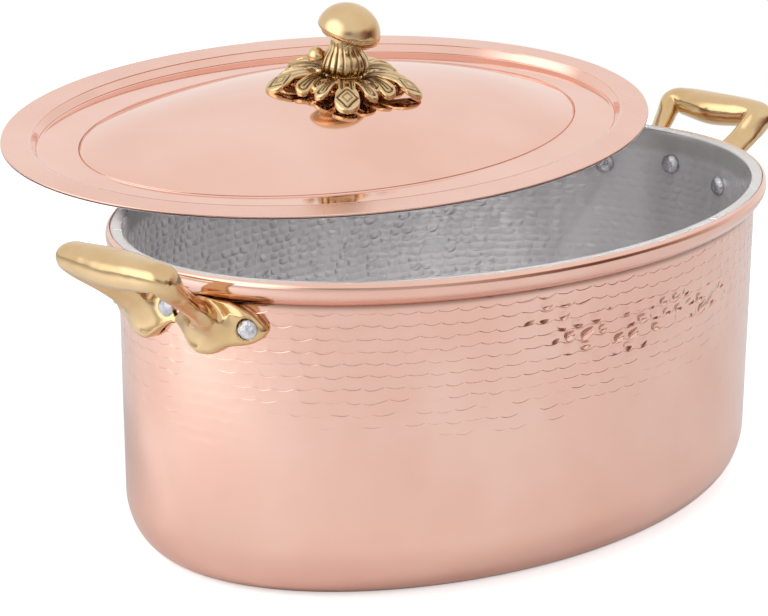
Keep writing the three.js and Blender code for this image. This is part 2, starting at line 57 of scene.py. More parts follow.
# %% [markdown]
# ## Sizes from the frame
#
# The rim of the pot is an oval. Its half length and half width come from the frame's own
# box, so the drawing follows the frame if that is ever rebuilt. All sizes below are in
# millimetres, because that is how such a pot is measured. They turn into metres when a mesh
# is made, or, for the pieces of the lid, when it is laid in its place.

# %% Sizes of the pot and lid, in millimetres
_, shell_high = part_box("pot_shell")
rim_long = shell_high.x / MM
rim_short = shell_high.y / MM
rim_top = shell_high.z / MM
lip_rise = 2.2
pot_height = rim_top - lip_rise
copper_thickness = 1.6
tin_thickness = 0.5
seam = 0.3
wall_thickness = copper_thickness + seam + tin_thickness
wall_taper = 1.7
corner_reach = 18
corner_height = 24.4
lip_overhang = 5.7
lip_depth = 9.5
crown_inset = 1.6
tin_edge_inset = 2.3
lip_width = lip_overhang + wall_thickness
print("rim", round(2 * rim_long, 1), "x", round(2 * rim_short, 1), "height", round(rim_top, 1))

# %% [markdown]
# ## Two small tools for node trees
#
# `add` makes one node, with its settings and its links. Long formulas are hard to read as
# chains of Math nodes, so `calc` takes a line of arithmetic and lets `add` make the chain.
# The same formula can then be used in a material and in a Geometry Nodes tree.

# %% One node
def add(tree, kind, links=None, stops=None, **settings):
    """One node: settings are its properties, links its inputs, each a socket or a value."""
    made = tree.nodes.new(kind)
    for key, value in settings.items():
        setattr(made, key, value)
    for key, value in (links or {}).items():
        if isinstance(value, bpy.types.NodeSocket):
            tree.links.new(value, made.inputs[key])
        else:
            made.inputs[key].default_value = value
    if stops:
        ramp = made.color_ramp
        while len(ramp.elements) < len(stops):
            ramp.elements.new(0.5)
        for element, (place, colour) in zip(ramp.elements, stops):
            element.position = place
            element.color = colour
    return made


print("made the helper", add.__name__)

# %% Arithmetic as nodes
SIGNS = {ast.Add: "ADD", ast.Sub: "SUBTRACT", ast.Mult: "MULTIPLY", ast.Div: "DIVIDE",
         ast.Pow: "POWER", ast.Lt: "LESS_THAN", ast.Gt: "GREATER_THAN"}


def calc(tree, formula, **values):
    """Makes the Math nodes of a line of arithmetic and returns the last output."""
    def part(term):
        if isinstance(term, ast.Constant):
            return float(term.value)
        if isinstance(term, ast.Name):
            return values[term.id]
        if isinstance(term, ast.UnaryOp):
            sign, parts = "MULTIPLY", [part(term.operand), -1.0]
        elif isinstance(term, ast.BinOp):
            sign, parts = SIGNS[type(term.op)], [part(term.left), part(term.right)]
        elif isinstance(term, ast.Compare):
            sign, parts = SIGNS[type(term.ops[0])], [part(term.left), part(term.comparators[0])]
        else:
            sign, parts = term.func.id.upper(), [part(each) for each in term.args]
        return add(tree, "ShaderNodeMath", dict(enumerate(parts)), operation=sign).outputs[0]
    return part(ast.parse(formula).body[0].value)


print("signs that calc knows:", len(SIGNS))

# %% Hex colours
def linear(code):
    """An sRGB hex colour as linear values."""
    parts = [int(code[i:i + 2], 16) / 255 for i in (1, 3, 5)]
    return [c / 12.92 if c <= 0.04045 else ((c + 0.055) / 1.055) ** 2.4 for c in parts] + [1.0]


print("a middle grey as a linear value:", round(linear("#808080")[0], 3))

# %% [markdown]
# ## Oval rings
#
# Every section of the pot and the lid is the rim's oval, moved inward by some inset along
# its own normal. A lathe can't make an oval, so the bodies are lofted: a list of rings runs
# from the middle of one face round the section to the middle of the other.

# %% Points of the oval
def oval(turn, inset=0.0):
    """Points of the rim's oval at the angles in turn, moved in by inset."""
    across, up = rim_short * np.cos(turn), rim_long * np.sin(turn)
    size = np.hypot(across, up)
    return (rim_long * np.cos(turn) - inset * across / size,
            rim_short * np.sin(turn) - inset * up / size)


print("rim at a quarter turn, in mm:", [round(float(v), 1) for v in oval(math.pi / 2)])

# %% Objects and their points
def put_in_scene(name, data):
    """An object at the origin that shows the data, such as a mesh or a lamp."""
    made = bpy.data.objects.new(name, data)
    scene.collection.objects.link(made)
    return made


def make_mesh(name, points, faces, material):
    """A smooth mesh object at the origin, with its points as given."""
    mesh = bpy.data.meshes.new(name)
    mesh.from_pydata(np.asarray(points).tolist(), [], [list(face) for face in faces])
    mesh.shade_smooth()
    mesh.materials.append(material)
    return put_in_scene(name, mesh)


def coordinates(piece):
    """The points of a piece's mesh, one row each, in metres."""
    flat = np.zeros(len(piece.data.vertices) * 3)
    piece.data.vertices.foreach_get("co", flat)
    return flat.reshape(-1, 3)


def store(piece, name, values):
    """Writes a number for each point into the mesh, for materials and node trees to read."""
    made = piece.data.attributes.new(name, "FLOAT", "POINT")
    made.data.foreach_set("value", np.asarray(values).astype(np.float32))


# %% Closed bodies of rings
def ring_faces(rings, around):
    """Faces of a closed body: one first point, rings of points, and one last point."""
    here = np.arange(around)
    after = (here + 1) % around
    last = 1 + rings * around
    faces = [(0, 1 + b, 1 + a) for a, b in zip(here, after)]
    for ring in range(rings - 1):
        low, high = 1 + ring * around, 1 + (ring + 1) * around
        faces += np.stack([low + here, low + after, high + after, high + here], 1).tolist()
    return faces + [(last - around + a, last - around + b, last) for a, b in zip(here, after)]


def oval_loft(rings, around):
    """Points in mm and faces of a closed body of rings, each (inset, height, share)."""
    turn = np.arange(around) * 2 * math.pi / around
    points = [[0, 0, rings[0][1]]]
    for inset, height, share in rings[1:-1]:
        x, y = oval(turn, inset)
        points += np.stack([x * share, y * share, np.full(around, height)], 1).tolist()
    points.append([0, 0, rings[-1][1]])
    return np.array(points), ring_faces(len(rings) - 2, around)


print("a body of 3 rings of 8 points has", len(ring_faces(3, 8)), "faces")

# %% Lines of a section
def between(a, b, c, d, s):
    """The point at a share s of the way from b to c, on the round line through a, b, c and d."""
    return 0.5 * (2 * b + (c - a) * s + (2 * a - 5 * b + 4 * c - d) * s * s
                  + (3 * b - a - 3 * c + d) * s ** 3)


def smooth_line(points, step):
    """A rounded line through a few (inset, height) points, with about one point each step."""
    points = np.array(points, float)
    ends = np.vstack([2 * points[0] - points[1], points, 2 * points[-1] - points[-2]])
    line = []
    for i in range(len(points) - 1):
        parts = max(1, round(np.linalg.norm(points[i + 1] - points[i]) / step))
        line += [between(*ends[i:i + 4], s) for s in np.arange(parts) / parts]
    return [tuple(p) for p in line] + [tuple(points[-1])]


def corner(depth, parts):
    """The rounded bottom edge at a depth inside the outer face, from the floor up."""
    start = lip_overhang + wall_taper + corner_reach
    return [(start - (corner_reach - depth) * math.sin(angle),
             corner_height - (corner_height - depth) * math.cos(angle))
            for angle in np.linspace(0, math.pi / 2, parts)]


def straight(start, end, step):
    """Points on a straight line between two (inset, height) points, without its ends."""
    parts = max(2, round(math.dist(start, end) / step))
    return [tuple(np.array(start) + (np.array(end) - start) * i / parts) for i in range(1, parts)]


print("insets of the bottom edge, in mm:", [round(inset, 1) for inset, _ in corner(0, 3)])

# %% [markdown]
# ## The rule of the hammer marks
#
# Planishing strikes the wall in rows, each blow beside the last and over the row below. A
# blow leaves a shallow round dish with a sharp lower edge, like a fish scale. The rule is
# arithmetic: the length round the oval and the height give the mark a point belongs to and
# its distance above that mark's lower edge, and that distance gives the depth. Marks could
# be instanced cutters, but thousands of cuts in a thin wall are slow and leave bad meshes.

# %% Sizes of the hammer marks
mark_width = 9.7
row_height = 5.75
mark_curve = 0.9
wall_long, wall_short = rim_long - lip_overhang, rim_short - lip_overhang
mean_square = (wall_long ** 2 + wall_short ** 2) / 2
mean_radius = 0.5 * (wall_long + wall_short) * (1 + ((wall_long - wall_short)
                                                 / (wall_long + wall_short)) ** 2 / 4)
oval_wave = (wall_long ** 2 - wall_short ** 2) / (8 * mean_square)
marks_round = round(2 * math.pi * mean_radius / mark_width)
drift_size = 71
shake_size = 12
full_marks = 0.118
print("marks round the wall:", marks_round, "oval wave", round(oval_wave, 4))

# %% Formula of the hammer marks
def round_and_up(tree, position):
    """The angle round the wall's oval, and the height, of a position in metres."""
    place = add(tree, "ShaderNodeSeparateXYZ", {0: position}).outputs
    turn = calc(tree, "arctan2(y * long, x * short)", x=place[0], y=place[1],
                long=wall_long, short=wall_short)
    return turn, place[2]


def hammer_marks(tree, position, edge, size=1.0):
    """Depth of the marks, and of a round bowl in each, for a position in metres.

    Both run from 0 to 1. The edge is the ridge's width as a share of a row.
    """
    drift = add(tree, "ShaderNodeTexNoise", {
        "Vector": position, "Scale": 1 / (drift_size * MM), "Detail": 1.0}).outputs["Fac"]
    shake = add(tree, "ShaderNodeTexNoise", {
        "Vector": position, "Scale": 1 / (shake_size * MM), "Detail": 0.0}).outputs["Fac"]
    turn, height = round_and_up(tree, position)
    u = calc(tree, "n * (t - k * sine(2 * t)) + 1.1 * drift + 0.5 * shake", t=turn, k=oval_wave,
             n=round(marks_round / size) / (2 * math.pi), drift=drift, shake=shake)
    v = calc(tree, "z * rows + 0.55 * drift + 0.4 * shake", z=height,
             rows=1 / (row_height * size * MM), drift=drift, shake=shake)
    row = calc(tree, "floor(v)", v=v)
    rise = calc(tree, "v - row", v=v, row=row)
    shift_here = add(tree, "ShaderNodeTexWhiteNoise", {"W": row},
                     noise_dimensions="1D").outputs["Value"]
    shift_below = add(tree, "ShaderNodeTexWhiteNoise", {"W": calc(tree, "row - 1", row=row)},
                      noise_dimensions="1D").outputs["Value"]
    side_here = calc(tree, "fract(u + s) - 0.5", u=u, s=shift_here)
    side_below = calc(tree, "fract(u + s) - 0.5", u=u, s=shift_below)
    lower = calc(tree, "rise < c * s * s", rise=rise, c=mark_curve, s=side_here)
    side = calc(tree, "a + (b - a) * f", a=side_here, b=side_below, f=lower)
    above = calc(tree, "rise + f - c * s * s", rise=rise, f=lower, c=mark_curve, s=side)
    shift = calc(tree, "a + (b - a) * f", a=shift_here, b=shift_below, f=lower)
    blow = add(tree, "ShaderNodeCombineXYZ", {
        0: calc(tree, "floor(u + s)", u=u, s=shift), 1: calc(tree, "row - f", row=row, f=lower)})
    force = add(tree, "ShaderNodeTexWhiteNoise", {"Vector": blow.outputs[0]},
                noise_dimensions="2D").outputs["Value"]
    dish = calc(tree, "(0.2 + 0.8 * force) * (1 - exponent(0 - above / edge))"
                      " * maximum(0, 1 - above) * (1 - (2 * absolute(side)) ** 4)",
                force=force, above=above, edge=edge, side=side)
    along = calc(tree, "side + 0.3 * fract(17 * force) - 0.15", side=side, force=force)
    over = calc(tree, "above - 0.4 - 0.22 * fract(41 * force)", above=above, force=force)
    bowl = calc(tree, "force * maximum(0, 1 - 5 * over * over - 6 * along * along) ** 1.5",
                force=force, over=over, along=along)
    return dish, bowl


print("rows from the floor to the lip:", round((pot_height - lip_depth) / row_height))

# %% [markdown]
# ## Where the blows are heavy
#
# Part of the front wall was struck again, harder, in a slanting band under the lip. The band
# bends with the angle round the oval, and a noise picks the places that were really hit.

# %% Band of heavy blows
band_height = 0.113
band_bend = 0.17
band_start = -1.658
band_middle = -1.68
band_sharpness = 110
reach_sharpness = 2.4
cluster_size = 19


def heavy_blows(tree, position):
    """How heavy the blows are, and how surely each place was struck, both up to 1."""
    turn, height = round_and_up(tree, position)
    past = calc(tree, "maximum(0, start - t)", start=band_start, t=turn)
    band = calc(tree, "(z - middle - bend * past * past) * sharp", z=height, middle=band_height,
                bend=band_bend, past=past, sharp=band_sharpness)
    reach = calc(tree, "(t - middle) * sharp", t=turn, middle=band_middle, sharp=reach_sharpness)
    cluster = add(tree, "ShaderNodeTexNoise", {
        "Vector": position, "Scale": 1 / (cluster_size * MM), "Detail": 1.0}).outputs["Fac"]
    struck = add(tree, "ShaderNodeMapRange", {0: cluster, 1: 0.4, 2: 0.52, 3: 0.15, 4: 1.0})
    heavy = calc(tree, "exponent(0 - b * b) * exponent(0 - r * r * r * r)", b=band, r=reach)
    return heavy, struck.outputs[0]


print("heavy band starts at", round(math.degrees(band_start)), "degrees, height", band_height / MM)

# %% [markdown]
# ## Finishes
#
# ** Copper**: polished sheet, nearly pure, so its reflections are strongly tinted pink. The
# wall is hammered, and a dark line of painted shadow lies where it meets the lip, for the
# shadow under the lip's overhang. The lid is smooth and brighter, and its flange is a little
# duller. Each finish drifts softly, as a handled surface does.

# %% Tools for a finish
def new_material(name):
    made = bpy.data.materials.new(name)
    made.use_nodes = True
    made.node_tree.nodes.clear()
    return made, made.node_tree


def metal(tree, colour, roughness, normal=None, **extra):
    """A metal surface and its output."""
    links = {"Metallic": 1.0, "Base Color": colour, "Roughness": roughness, **extra}
    if normal:
        links["Normal"] = normal
    surface = add(tree, "ShaderNodeBsdfPrincipled", links)
    add(tree, "ShaderNodeOutputMaterial", {"Surface": surface.outputs[0]})


def blotches(tree, position, dark, light, size):
    """A colour that drifts softly between two over a size in mm."""
    cloud = add(tree, "ShaderNodeTexNoise", {
        "Vector": position, "Scale": 1 / (size * MM), "Detail": 3.0}).outputs["Fac"]
    return add(tree, "ShaderNodeValToRGB", {0: cloud},
               stops=[(0.35, linear(dark)), (0.65, linear(light))]).outputs[0]


def spread(tree, position, low, high, size):
    """A number that drifts between two values over a size in mm."""
    cloud = add(tree, "ShaderNodeTexNoise", {
        "Vector": position, "Scale": 1 / (size * MM), "Detail": 4.0}).outputs["Fac"]
    return add(tree, "ShaderNodeMapRange",
               {0: cloud, 1: 0.3, 2: 0.7, 3: low, 4: high}).outputs[0]


print("materials before the first finish:", len(bpy.data.materials))

# %% Hammered copper
# height and sharpness of the painted shadow line under the lip
lip_shadow_height = 0.14
lip_shadow_sharpness = 700

hammered_copper, tree = new_material("hammered copper")
position = add(tree, "ShaderNodeTexCoord").outputs["Object"]
marks, bowls = hammer_marks(tree, position, 0.04)
turn, height = round_and_up(tree, position)
heavy, struck = heavy_blows(tree, position)
fade = add(tree, "ShaderNodeMapRange",
           {0: height, 1: 0.07, 2: full_marks, 3: 0.06, 4: 1.0}).outputs[0]
bright_side = add(tree, "ShaderNodeMapRange",
                  {0: turn, 1: -2.5, 2: -1.95, 3: 0.5, 4: 1.0}).outputs[0]
start = add(tree, "ShaderNodeMapRange",
            {0: height, 1: 0.1412, 2: 0.1395, 3: 0.0, 4: 1.0}).outputs[0]
cloud = add(tree, "ShaderNodeTexNoise", {
    "Vector": position, "Scale": 1 / (13 * MM), "Detail": 2.0}).outputs["Fac"]
dent = calc(tree, "0 - marks * fade * start * side * (0.95 + 2 * heavy)"
                  " - 7 * bowls * heavy * start * struck - 0.2 * cloud",
            marks=marks, fade=fade, start=start, side=bright_side, bowls=bowls, heavy=heavy,
            struck=struck, cloud=cloud)
bump = add(tree, "ShaderNodeBump", {"Strength": 1.0, "Distance": 0.0004, "Height": dent})
# painted shadow: a dark brown line mixed into the copper's colour where the wall meets the lip,
# for the shadow under the lip's overhang
painted_lip_shadow = calc(tree, "0.7 * exponent(0 - ((z - at) * sharp) * ((z - at) * sharp))", z=height,
              at=lip_shadow_height, sharp=lip_shadow_sharpness)
bare = blotches(tree, position, "#F0C3B2", "#F5CDBD", 55)
copper_with_lip_shadow = add(tree, "ShaderNodeMix", {0: painted_lip_shadow, 6: bare, 7: linear("#7A5548")},
              data_type="RGBA").outputs[2]
metal(tree, copper_with_lip_shadow, spread(tree, position, 0.1, 0.15, 33), bump.outputs[0])
print(hammered_copper.name, "has", len(tree.nodes), "nodes")

# %% Polished copper
polished_copper, tree = new_material("polished copper")
position = add(tree, "ShaderNodeTexCoord").outputs["Object"]
flange = add(tree, "ShaderNodeAttribute", attribute_name="flange").outputs["Fac"]
rough = calc(tree, "rough + 0.2 * flange", rough=spread(tree, position, 0.06, 0.09, 40),
             flange=flange)
metal(tree, blotches(tree, position, "#F0C4B4", "#F6CFC1", 85), rough)
print("copper finishes:", hammered_copper.name, "and", polished_copper.name)

# %% [markdown]
# ## Tin
#
# The lining is pure tin, melted in and wiped by hand, so it has upright streaks and a satin
# shine, and the blows show through as soft dents. The floor of the pot is wiped flat. Tin is
# less of a mirror than polished copper: part of its light is scattered, which a Metallic value
# below 1 stands for. Its colour also holds painted light: bright dashes along the ridges of
# the marks, and painted shade at the ends of the pot and on the lip.

# %% Wiped tin in the pot
wiped_tin, tree = new_material("wiped tin")
position = add(tree, "ShaderNodeTexCoord").outputs["Object"]
marks, bowls = hammer_marks(tree, position, 0.12, 0.72)
tall = add(tree, "ShaderNodeVectorMath", {0: position, 1: (1.0, 1.0, 0.12)},
           operation="MULTIPLY").outputs[0]
place = add(tree, "ShaderNodeSeparateXYZ", {0: position}).outputs
under_lip = add(tree, "ShaderNodeMapRange",
                {0: place[2], 1: 0.142, 2: 0.139, 3: 0.0, 4: 1.0}).outputs[0]
above_floor = add(tree, "ShaderNodeMapRange",
                  {0: place[2], 1: 0.012, 2: 0.03, 3: 0.0, 4: 1.0}).outputs[0]
from_middle = calc(tree, "absolute(x)", x=place[0])
ends = add(tree, "ShaderNodeMapRange",
           {0: from_middle, 1: 0.11, 2: 0.19, 3: 1.0, 4: 0.15}).outputs[0]
dent = calc(tree, "0 - (marks + bowls) * lip * wall * ends", marks=marks, bowls=bowls,
            lip=under_lip, wall=above_floor, ends=ends)
bump = add(tree, "ShaderNodeBump", {"Strength": 1.0, "Distance": 0.0006, "Height": dent})
# painted shade: the tin is mixed toward a dark grey toward both ends of the oval and on the lip,
# for the shade in the pot's ends and under its rim
painted_tin_shade = calc(tree, "0.35 * (1 - ends) * lip + 0.5 * (1 - lip)", ends=ends, lip=under_lip)
bare = blotches(tree, tall, "#EAE8EA", "#FEFDFE", 30)
# painted highlights: the colour is mixed toward white along the ridges of the marks, for the
# bright dashes that light makes on them
painted_tin_glints = calc(tree, "maximum(0, 1 - 4 * marks) * lip * wall * ends * 0.8", marks=marks,
              lip=under_lip, wall=above_floor, ends=ends)
tin_with_glints = add(tree, "ShaderNodeMix", {0: painted_tin_glints, 6: bare, 7: (1, 1, 1, 1)},
            data_type="RGBA").outputs[2]
# the dark grey mixed in here is painted shade
wiped = add(tree, "ShaderNodeMix", {0: painted_tin_shade, 6: tin_with_glints, 7: linear("#9A9590")},
            data_type="RGBA").outputs[2]
metal(tree, wiped, spread(tree, tall, 0.16, 0.28, 25), bump.outputs[0], Metallic=0.6)
print(wiped_tin.name, "has", len(tree.nodes), "nodes")

# %% Smooth tin under the lid
smooth_tin, tree = new_material("smooth tin")
position = add(tree, "ShaderNodeTexCoord").outputs["Object"]
metal(tree, blotches(tree, position, "#CFCED0", "#DEDDDE", 33),
      spread(tree, position, 0.25, 0.35, 17))
print("tin finishes:", wiped_tin.name, "and", smooth_tin.name)

# %% [markdown]
# ## Brass, rivets and steel
#
# Handles and finial are sand cast in yellow brass and polished by hand: the crests shine, the
# surface keeps a slight wave, and the hollows keep a dark brown skin. An attribute called
# recess, written where the ornament is made, says how deep in a hollow a point lies. Rivet
# heads are beaten, so they glitter in small pits. The screw under the lid is plain turned
# steel.

# %% Brass
cast_brass, tree = new_material("polished cast brass")
position = add(tree, "ShaderNodeTexCoord").outputs["Object"]
bare = blotches(tree, position, "#D6B686", "#E2C69C", 25)
recess = add(tree, "ShaderNodeAttribute", attribute_name="recess").outputs["Fac"]
aged = add(tree, "ShaderNodeMix", {0: recess, 6: bare, 7: linear("#4A3216")},
           data_type="RGBA").outputs[2]
dull = calc(tree, "rough + 0.35 * recess", rough=spread(tree, position, 0.12, 0.19, 12),
            recess=recess)
waves = add(tree, "ShaderNodeTexNoise", {
    "Vector": position, "Scale": 1 / (8 * MM), "Detail": 1.0}).outputs["Fac"]
bump = add(tree, "ShaderNodeBump", {"Strength": 1.0, "Distance": 0.0003, "Height": waves})
metal(tree, aged, dull, bump.outputs[0])
print(cast_brass.name, "has", len(tree.nodes), "nodes")

# %% Rivet metal and steel
rivet_metal, tree = new_material("hammered rivet metal")
position = add(tree, "ShaderNodeTexCoord").outputs["Object"]
pits = add(tree, "ShaderNodeTexNoise", {
    "Vector": position, "Scale": 1 / (1.4 * MM), "Detail": 2.0}).outputs["Fac"]
bump = add(tree, "ShaderNodeBump", {"Strength": 1.0, "Distance": 0.0006, "Height": pits})
metal(tree, blotches(tree, position, "#B4B4BA", "#D8D8DD", 4),
      spread(tree, position, 0.2, 0.34, 5), bump.outputs[0])

plain_steel, tree = new_material("turned steel")
position = add(tree, "ShaderNodeTexCoord").outputs["Object"]
metal(tree, blotches(tree, position, "#8F9297", "#A4A7AB", 11),
      spread(tree, position, 0.25, 0.4, 7))
print("materials so far:", len(bpy.data.materials))

# %% [markdown]
# ## The pot's copper
#
# The shell is one sheet. Its outer face runs from the floor round the bottom edge and up the
# wall, flares into the lip and ends at the lip's crown, where the tin begins. The inner face
# comes back down a sheet's thickness away. The lining follows that inner face in tin.

# %% Pot shell
around = 560
outer_step = 1.15
inner_step = 1.3


def tin_height(inset):
    """Height of the tinned top of the lip at an inset from the rim."""
    return rim_top - 0.6 * ((inset - crown_inset) / (lip_width - crown_inset)) ** 2


wall_foot = (lip_overhang + wall_taper, corner_height)
wall_top = (lip_overhang, pot_height - lip_depth)
lip_line = smooth_line([
    wall_top,
    (lip_overhang * 0.45, pot_height - lip_depth * 0.72),
    (0.5, pot_height - lip_depth * 0.42),
    (0.02, pot_height - lip_depth * 0.16),
    (0.35, pot_height + 0.9),
    (crown_inset, rim_top),
], 0.8)
inner = lip_overhang + copper_thickness
under_tin = tin_thickness + seam
edge = tin_edge_inset - seam
outer_part = [(35.0, 0.0), (27.0, 0.0), *corner(0, 14),
              *straight(wall_foot, wall_top, outer_step), *lip_line]
inner_part = [
    (edge, rim_top - 0.1),
    (edge, tin_height(edge) - under_tin),
    (inner, tin_height(inner) - under_tin - 0.6),
    (inner, pot_height - lip_depth),
    *corner(copper_thickness, 8)[::-1],
]
rings = [(0, 0.0, 1), *[(a, b, 1) for a, b in outer_part + inner_part], (0, copper_thickness, 1)]
points, faces = oval_loft(rings, around)
pot_copper = make_mesh("pot_copper", points * MM, faces, hammered_copper)
print("pot shell triangles:", sum(len(f) - 2 for f in faces))

# %% Pot lining
outer = lip_overhang + copper_thickness + seam
lining_rings = [
    *corner(copper_thickness + seam, 8),
    (outer, pot_height - lip_depth),
    (outer, tin_height(outer) - tin_thickness - 0.6),
    (tin_edge_inset, tin_height(tin_edge_inset) - tin_thickness),
    (tin_edge_inset, tin_height(tin_edge_inset) - 0.15),
    *smooth_line([(tin_edge_inset + 0.3, tin_height(tin_edge_inset + 0.3) - 0.02),
                  (tin_edge_inset + 2.4, tin_height(tin_edge_inset + 2.4)),
                  (lip_width - 1.6, tin_height(lip_width - 1.6)),
                  (lip_width - 0.4, tin_height(lip_width - 0.4) - 0.35),
                  (lip_width, pot_height - 1.6),
                  (lip_width, pot_height - 3)], 0.5),
    *straight((lip_width, pot_height - 3),
              (lip_overhang + wall_taper + wall_thickness, corner_height), inner_step),
    *corner(wall_thickness, 12)[::-1],
]
rings = [(0, copper_thickness + seam, 1), *[(a, b, 1) for a, b in lining_rings],
         (0, wall_thickness, 1)]
points, faces = oval_loft(rings, around)
pot_tin = make_mesh("pot_tin", points * MM, faces, wiped_tin)
print("pot lining triangles:", sum(len(f) - 2 for f in faces))

# %% [markdown]
# ## Planishing the wall with Geometry Nodes
#
# On the real pot each blow stretches the copper and leaves a dent of a few tenths of a
# millimetre. Sculpting thousands of them by hand would take days, and a bump map alone leaves
# the outline straight. A Geometry Nodes tree runs the rule over every point of the wall and
# presses it in along its normal. The material adds the same marks, finer than the mesh, as
# bump. The result is turned into a plain mesh and the modifier is taken off.

# %% Trees with named inputs
def node_tree(name, numbers):
    """A Geometry Nodes tree with a geometry input and named number inputs."""
    tree = bpy.data.node_groups.new(name, "GeometryNodeTree")
    tree.interface.new_socket("Geometry", in_out="INPUT", socket_type="NodeSocketGeometry")
    keys = {label: tree.interface.new_socket(
        label, in_out="INPUT", socket_type="NodeSocketFloat").identifier for label in numbers}
    tree.interface.new_socket("Geometry", in_out="OUTPUT", socket_type="NodeSocketGeometry")
    return tree, keys, add(tree, "NodeGroupInput").outputs


def bake_tree(piece, tree, keys, numbers):
    """Runs the tree on the piece with these numbers and keeps the result as a plain mesh."""
    modifier = piece.modifiers.new(tree.name, "NODES")
    modifier.node_group = tree
    for label, value in numbers.items():
        modifier[keys[label]] = value
    shown = piece.evaluated_get(bpy.context.evaluated_depsgraph_get())
    done = bpy.data.meshes.new_from_object(shown)
    piece.modifiers.clear()
    done.name = piece.name
    piece.data = done


print("geometry trees so far:", len(bpy.data.node_groups))

# %% Where the wall is
wall_face_height = 115
marked_from, marked_to = 26, 142


def mark_wall(piece, outward):
    """Stores which points are on the wall's face: 1 there, 0 elsewhere."""
    x, y, z = coordinates(piece).T / MM
    turn = np.arctan2(y / rim_short, x / rim_long)
    wall_rise = np.clip((wall_top[1] - z) / wall_face_height, 0, 1)
    inset = wall_thickness / 2 + lip_overhang + wall_taper * wall_rise
    gap = np.hypot(*oval(turn)) - np.hypot(x, y)
    face = gap < inset if outward else gap > inset - 0.5
    store(piece, "wall", face & (z > marked_from) & (z < marked_to))


mark_wall(pot_copper, True)
mark_wall(pot_tin, False)
print("points that may be pressed:",
      sum(round(mark.value) for mark in pot_copper.data.attributes["wall"].data), "in the copper")

# %% Planishing the wall
def planish(piece, depth, lowest):
    """Presses the hammer marks into a piece's wall, from a lowest height up to the lip."""
    numbers = {"Depth": depth, "Lowest": lowest, "Highest": 0.141}
    tree, keys, given = node_tree("planished wall", numbers)
    position = add(tree, "GeometryNodeInputPosition").outputs[0]
    wall = add(tree, "GeometryNodeInputNamedAttribute", {"Name": "wall"},
               data_type="FLOAT").outputs["Attribute"]
    normal = add(tree, "GeometryNodeInputNormal").outputs[0]
    height = add(tree, "ShaderNodeSeparateXYZ", {0: position}).outputs[2]
    marks, bowls = hammer_marks(tree, position, 0.16)
    heavy, struck = heavy_blows(tree, position)
    fade = add(tree, "ShaderNodeMapRange", {
        0: height, 1: given["Lowest"], 2: full_marks, 3: 0.15, 4: 1.0}).outputs[0]
    start = calc(tree, "minimum(1, maximum(0, (top - z) * 600))", top=given["Highest"], z=height)
    size = calc(tree, "0 - (marks * fade + 1.4 * bowls * heavy * struck) * start * depth * wall",
                marks=marks, fade=fade, bowls=bowls, heavy=heavy, struck=struck, start=start,
                depth=given["Depth"], wall=wall)
    push = add(tree, "ShaderNodeVectorMath", {0: normal, "Scale": size},
               operation="SCALE").outputs[0]
    moved = add(tree, "GeometryNodeSetPosition", {"Geometry": given["Geometry"], "Offset": push})
    add(tree, "NodeGroupOutput", {0: moved.outputs[0]})
    bake_tree(piece, tree, keys, numbers)


planish(pot_copper, 0.22 * MM, 0.045)
planish(pot_tin, 0.15 * MM, 0.02)
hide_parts("pot_shell")
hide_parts("pot_lining")
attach(pot_copper, "pot")
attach(pot_tin, "pot")
print("points the rule ran over:", len(pot_copper.data.vertices) + len(pot_tin.data.vertices))

# %% [markdown]
# ## Castings from a distance field
#
# A cast handle has no sharp joints: plate, legs and grip flow into each other. A field that
# gives each point its distance to the metal can blend such forms with a soft minimum, and a
# volume mesher then skins its zero level. Metaballs blend too, but can't keep a flat plate.

# %% Field tools
def soft_min(a, b, reach):
    """The smaller of two distances, rounded where they meet within reach."""
    share = np.clip(0.5 + 0.5 * (b - a) / reach, 0, 1)
    return b + (a - b) * share - reach * share * (1 - share)


def soft_max(a, b, reach):
    return -soft_min(-a, -b, reach)


def skin_field(name, field, low, high, step, material):
    """Meshes where field(points) is 0; points, box and step are in mm."""
    axes = [np.arange(a, b + step, step) for a, b in zip(low, high)]
    grid = np.stack(np.meshgrid(*axes, indexing="ij"), -1)
    limit = 3 * step
    values = np.clip(field(grid), -limit, limit).astype(np.float32)
    volume = openvdb.FloatGrid(limit)
    volume.copyFromArray(values)
    points, quads = volume.convertToQuads(0.0)
    points = np.array(low) + np.array(points) * step
    quads = np.array(quads)
    a, b, c = points[quads[:, 0]], points[quads[:, 1]], points[quads[:, 2]]
    if np.einsum("ij,ij->", a, np.cross(b, c)) < 0:
        quads = quads[:, ::-1]
    return make_mesh(name, points * MM, quads.tolist(), material)


print("two forms, both 1 mm away, melted over 5 mm:", soft_min(1.0, 1.0, 5.0), "mm away")

# %% Sizes of the handle
lug_outline = [
    (0, 8.6, 23.8), (2.8, 8.6, 24.2), (8.3, 8.6, 27.5), (13.3, 8.6, 32.2), (18.3, 8.6, 34.3),
    (25.5, 8.6, 33.2), (32.3, 8.9, 29.4), (40.3, 11.4, 27.8), (44, 13.5, 26.7),
    (46.7, 15.6, 25.4), (49, 18, 23.8), (50.4, 20.4, 21.6),
]
lug_thickness = 7.2
leg_foot_drop = 21
leg_foot_spread = 20
grip_reach = 32
grip_rise = 9
grip_half_length = 29
grip_half_depth = 8.2
grip_half_height = 7.4
grip_swell = 2.4
leg_half_width = 6.6
leg_half_thickness = 4.2
rivet_spacing = 42.4
middle_drop = 15.4
side_drop = 19.6
outer_head_radius = 4.5
outer_seat = lug_thickness - 1.2
handle_gap = 0.35
shank_hole = 2.9
squareness = 2.3
handle_blend = 5.0
pocket_edge = 0.5
handle_half_width = 56
print("lug plate", 2 * lug_outline[-1][0], "mm long and", lug_thickness, "mm thick")

# %% Places along the wall
walk = np.linspace(-0.5, 0.5, 2001)
rim_x, rim_y = oval(walk)
along_walk = np.concatenate([[0], np.cumsum(np.hypot(np.diff(rim_x), np.diff(rim_y)))])
along_walk -= along_walk[len(walk) // 2]


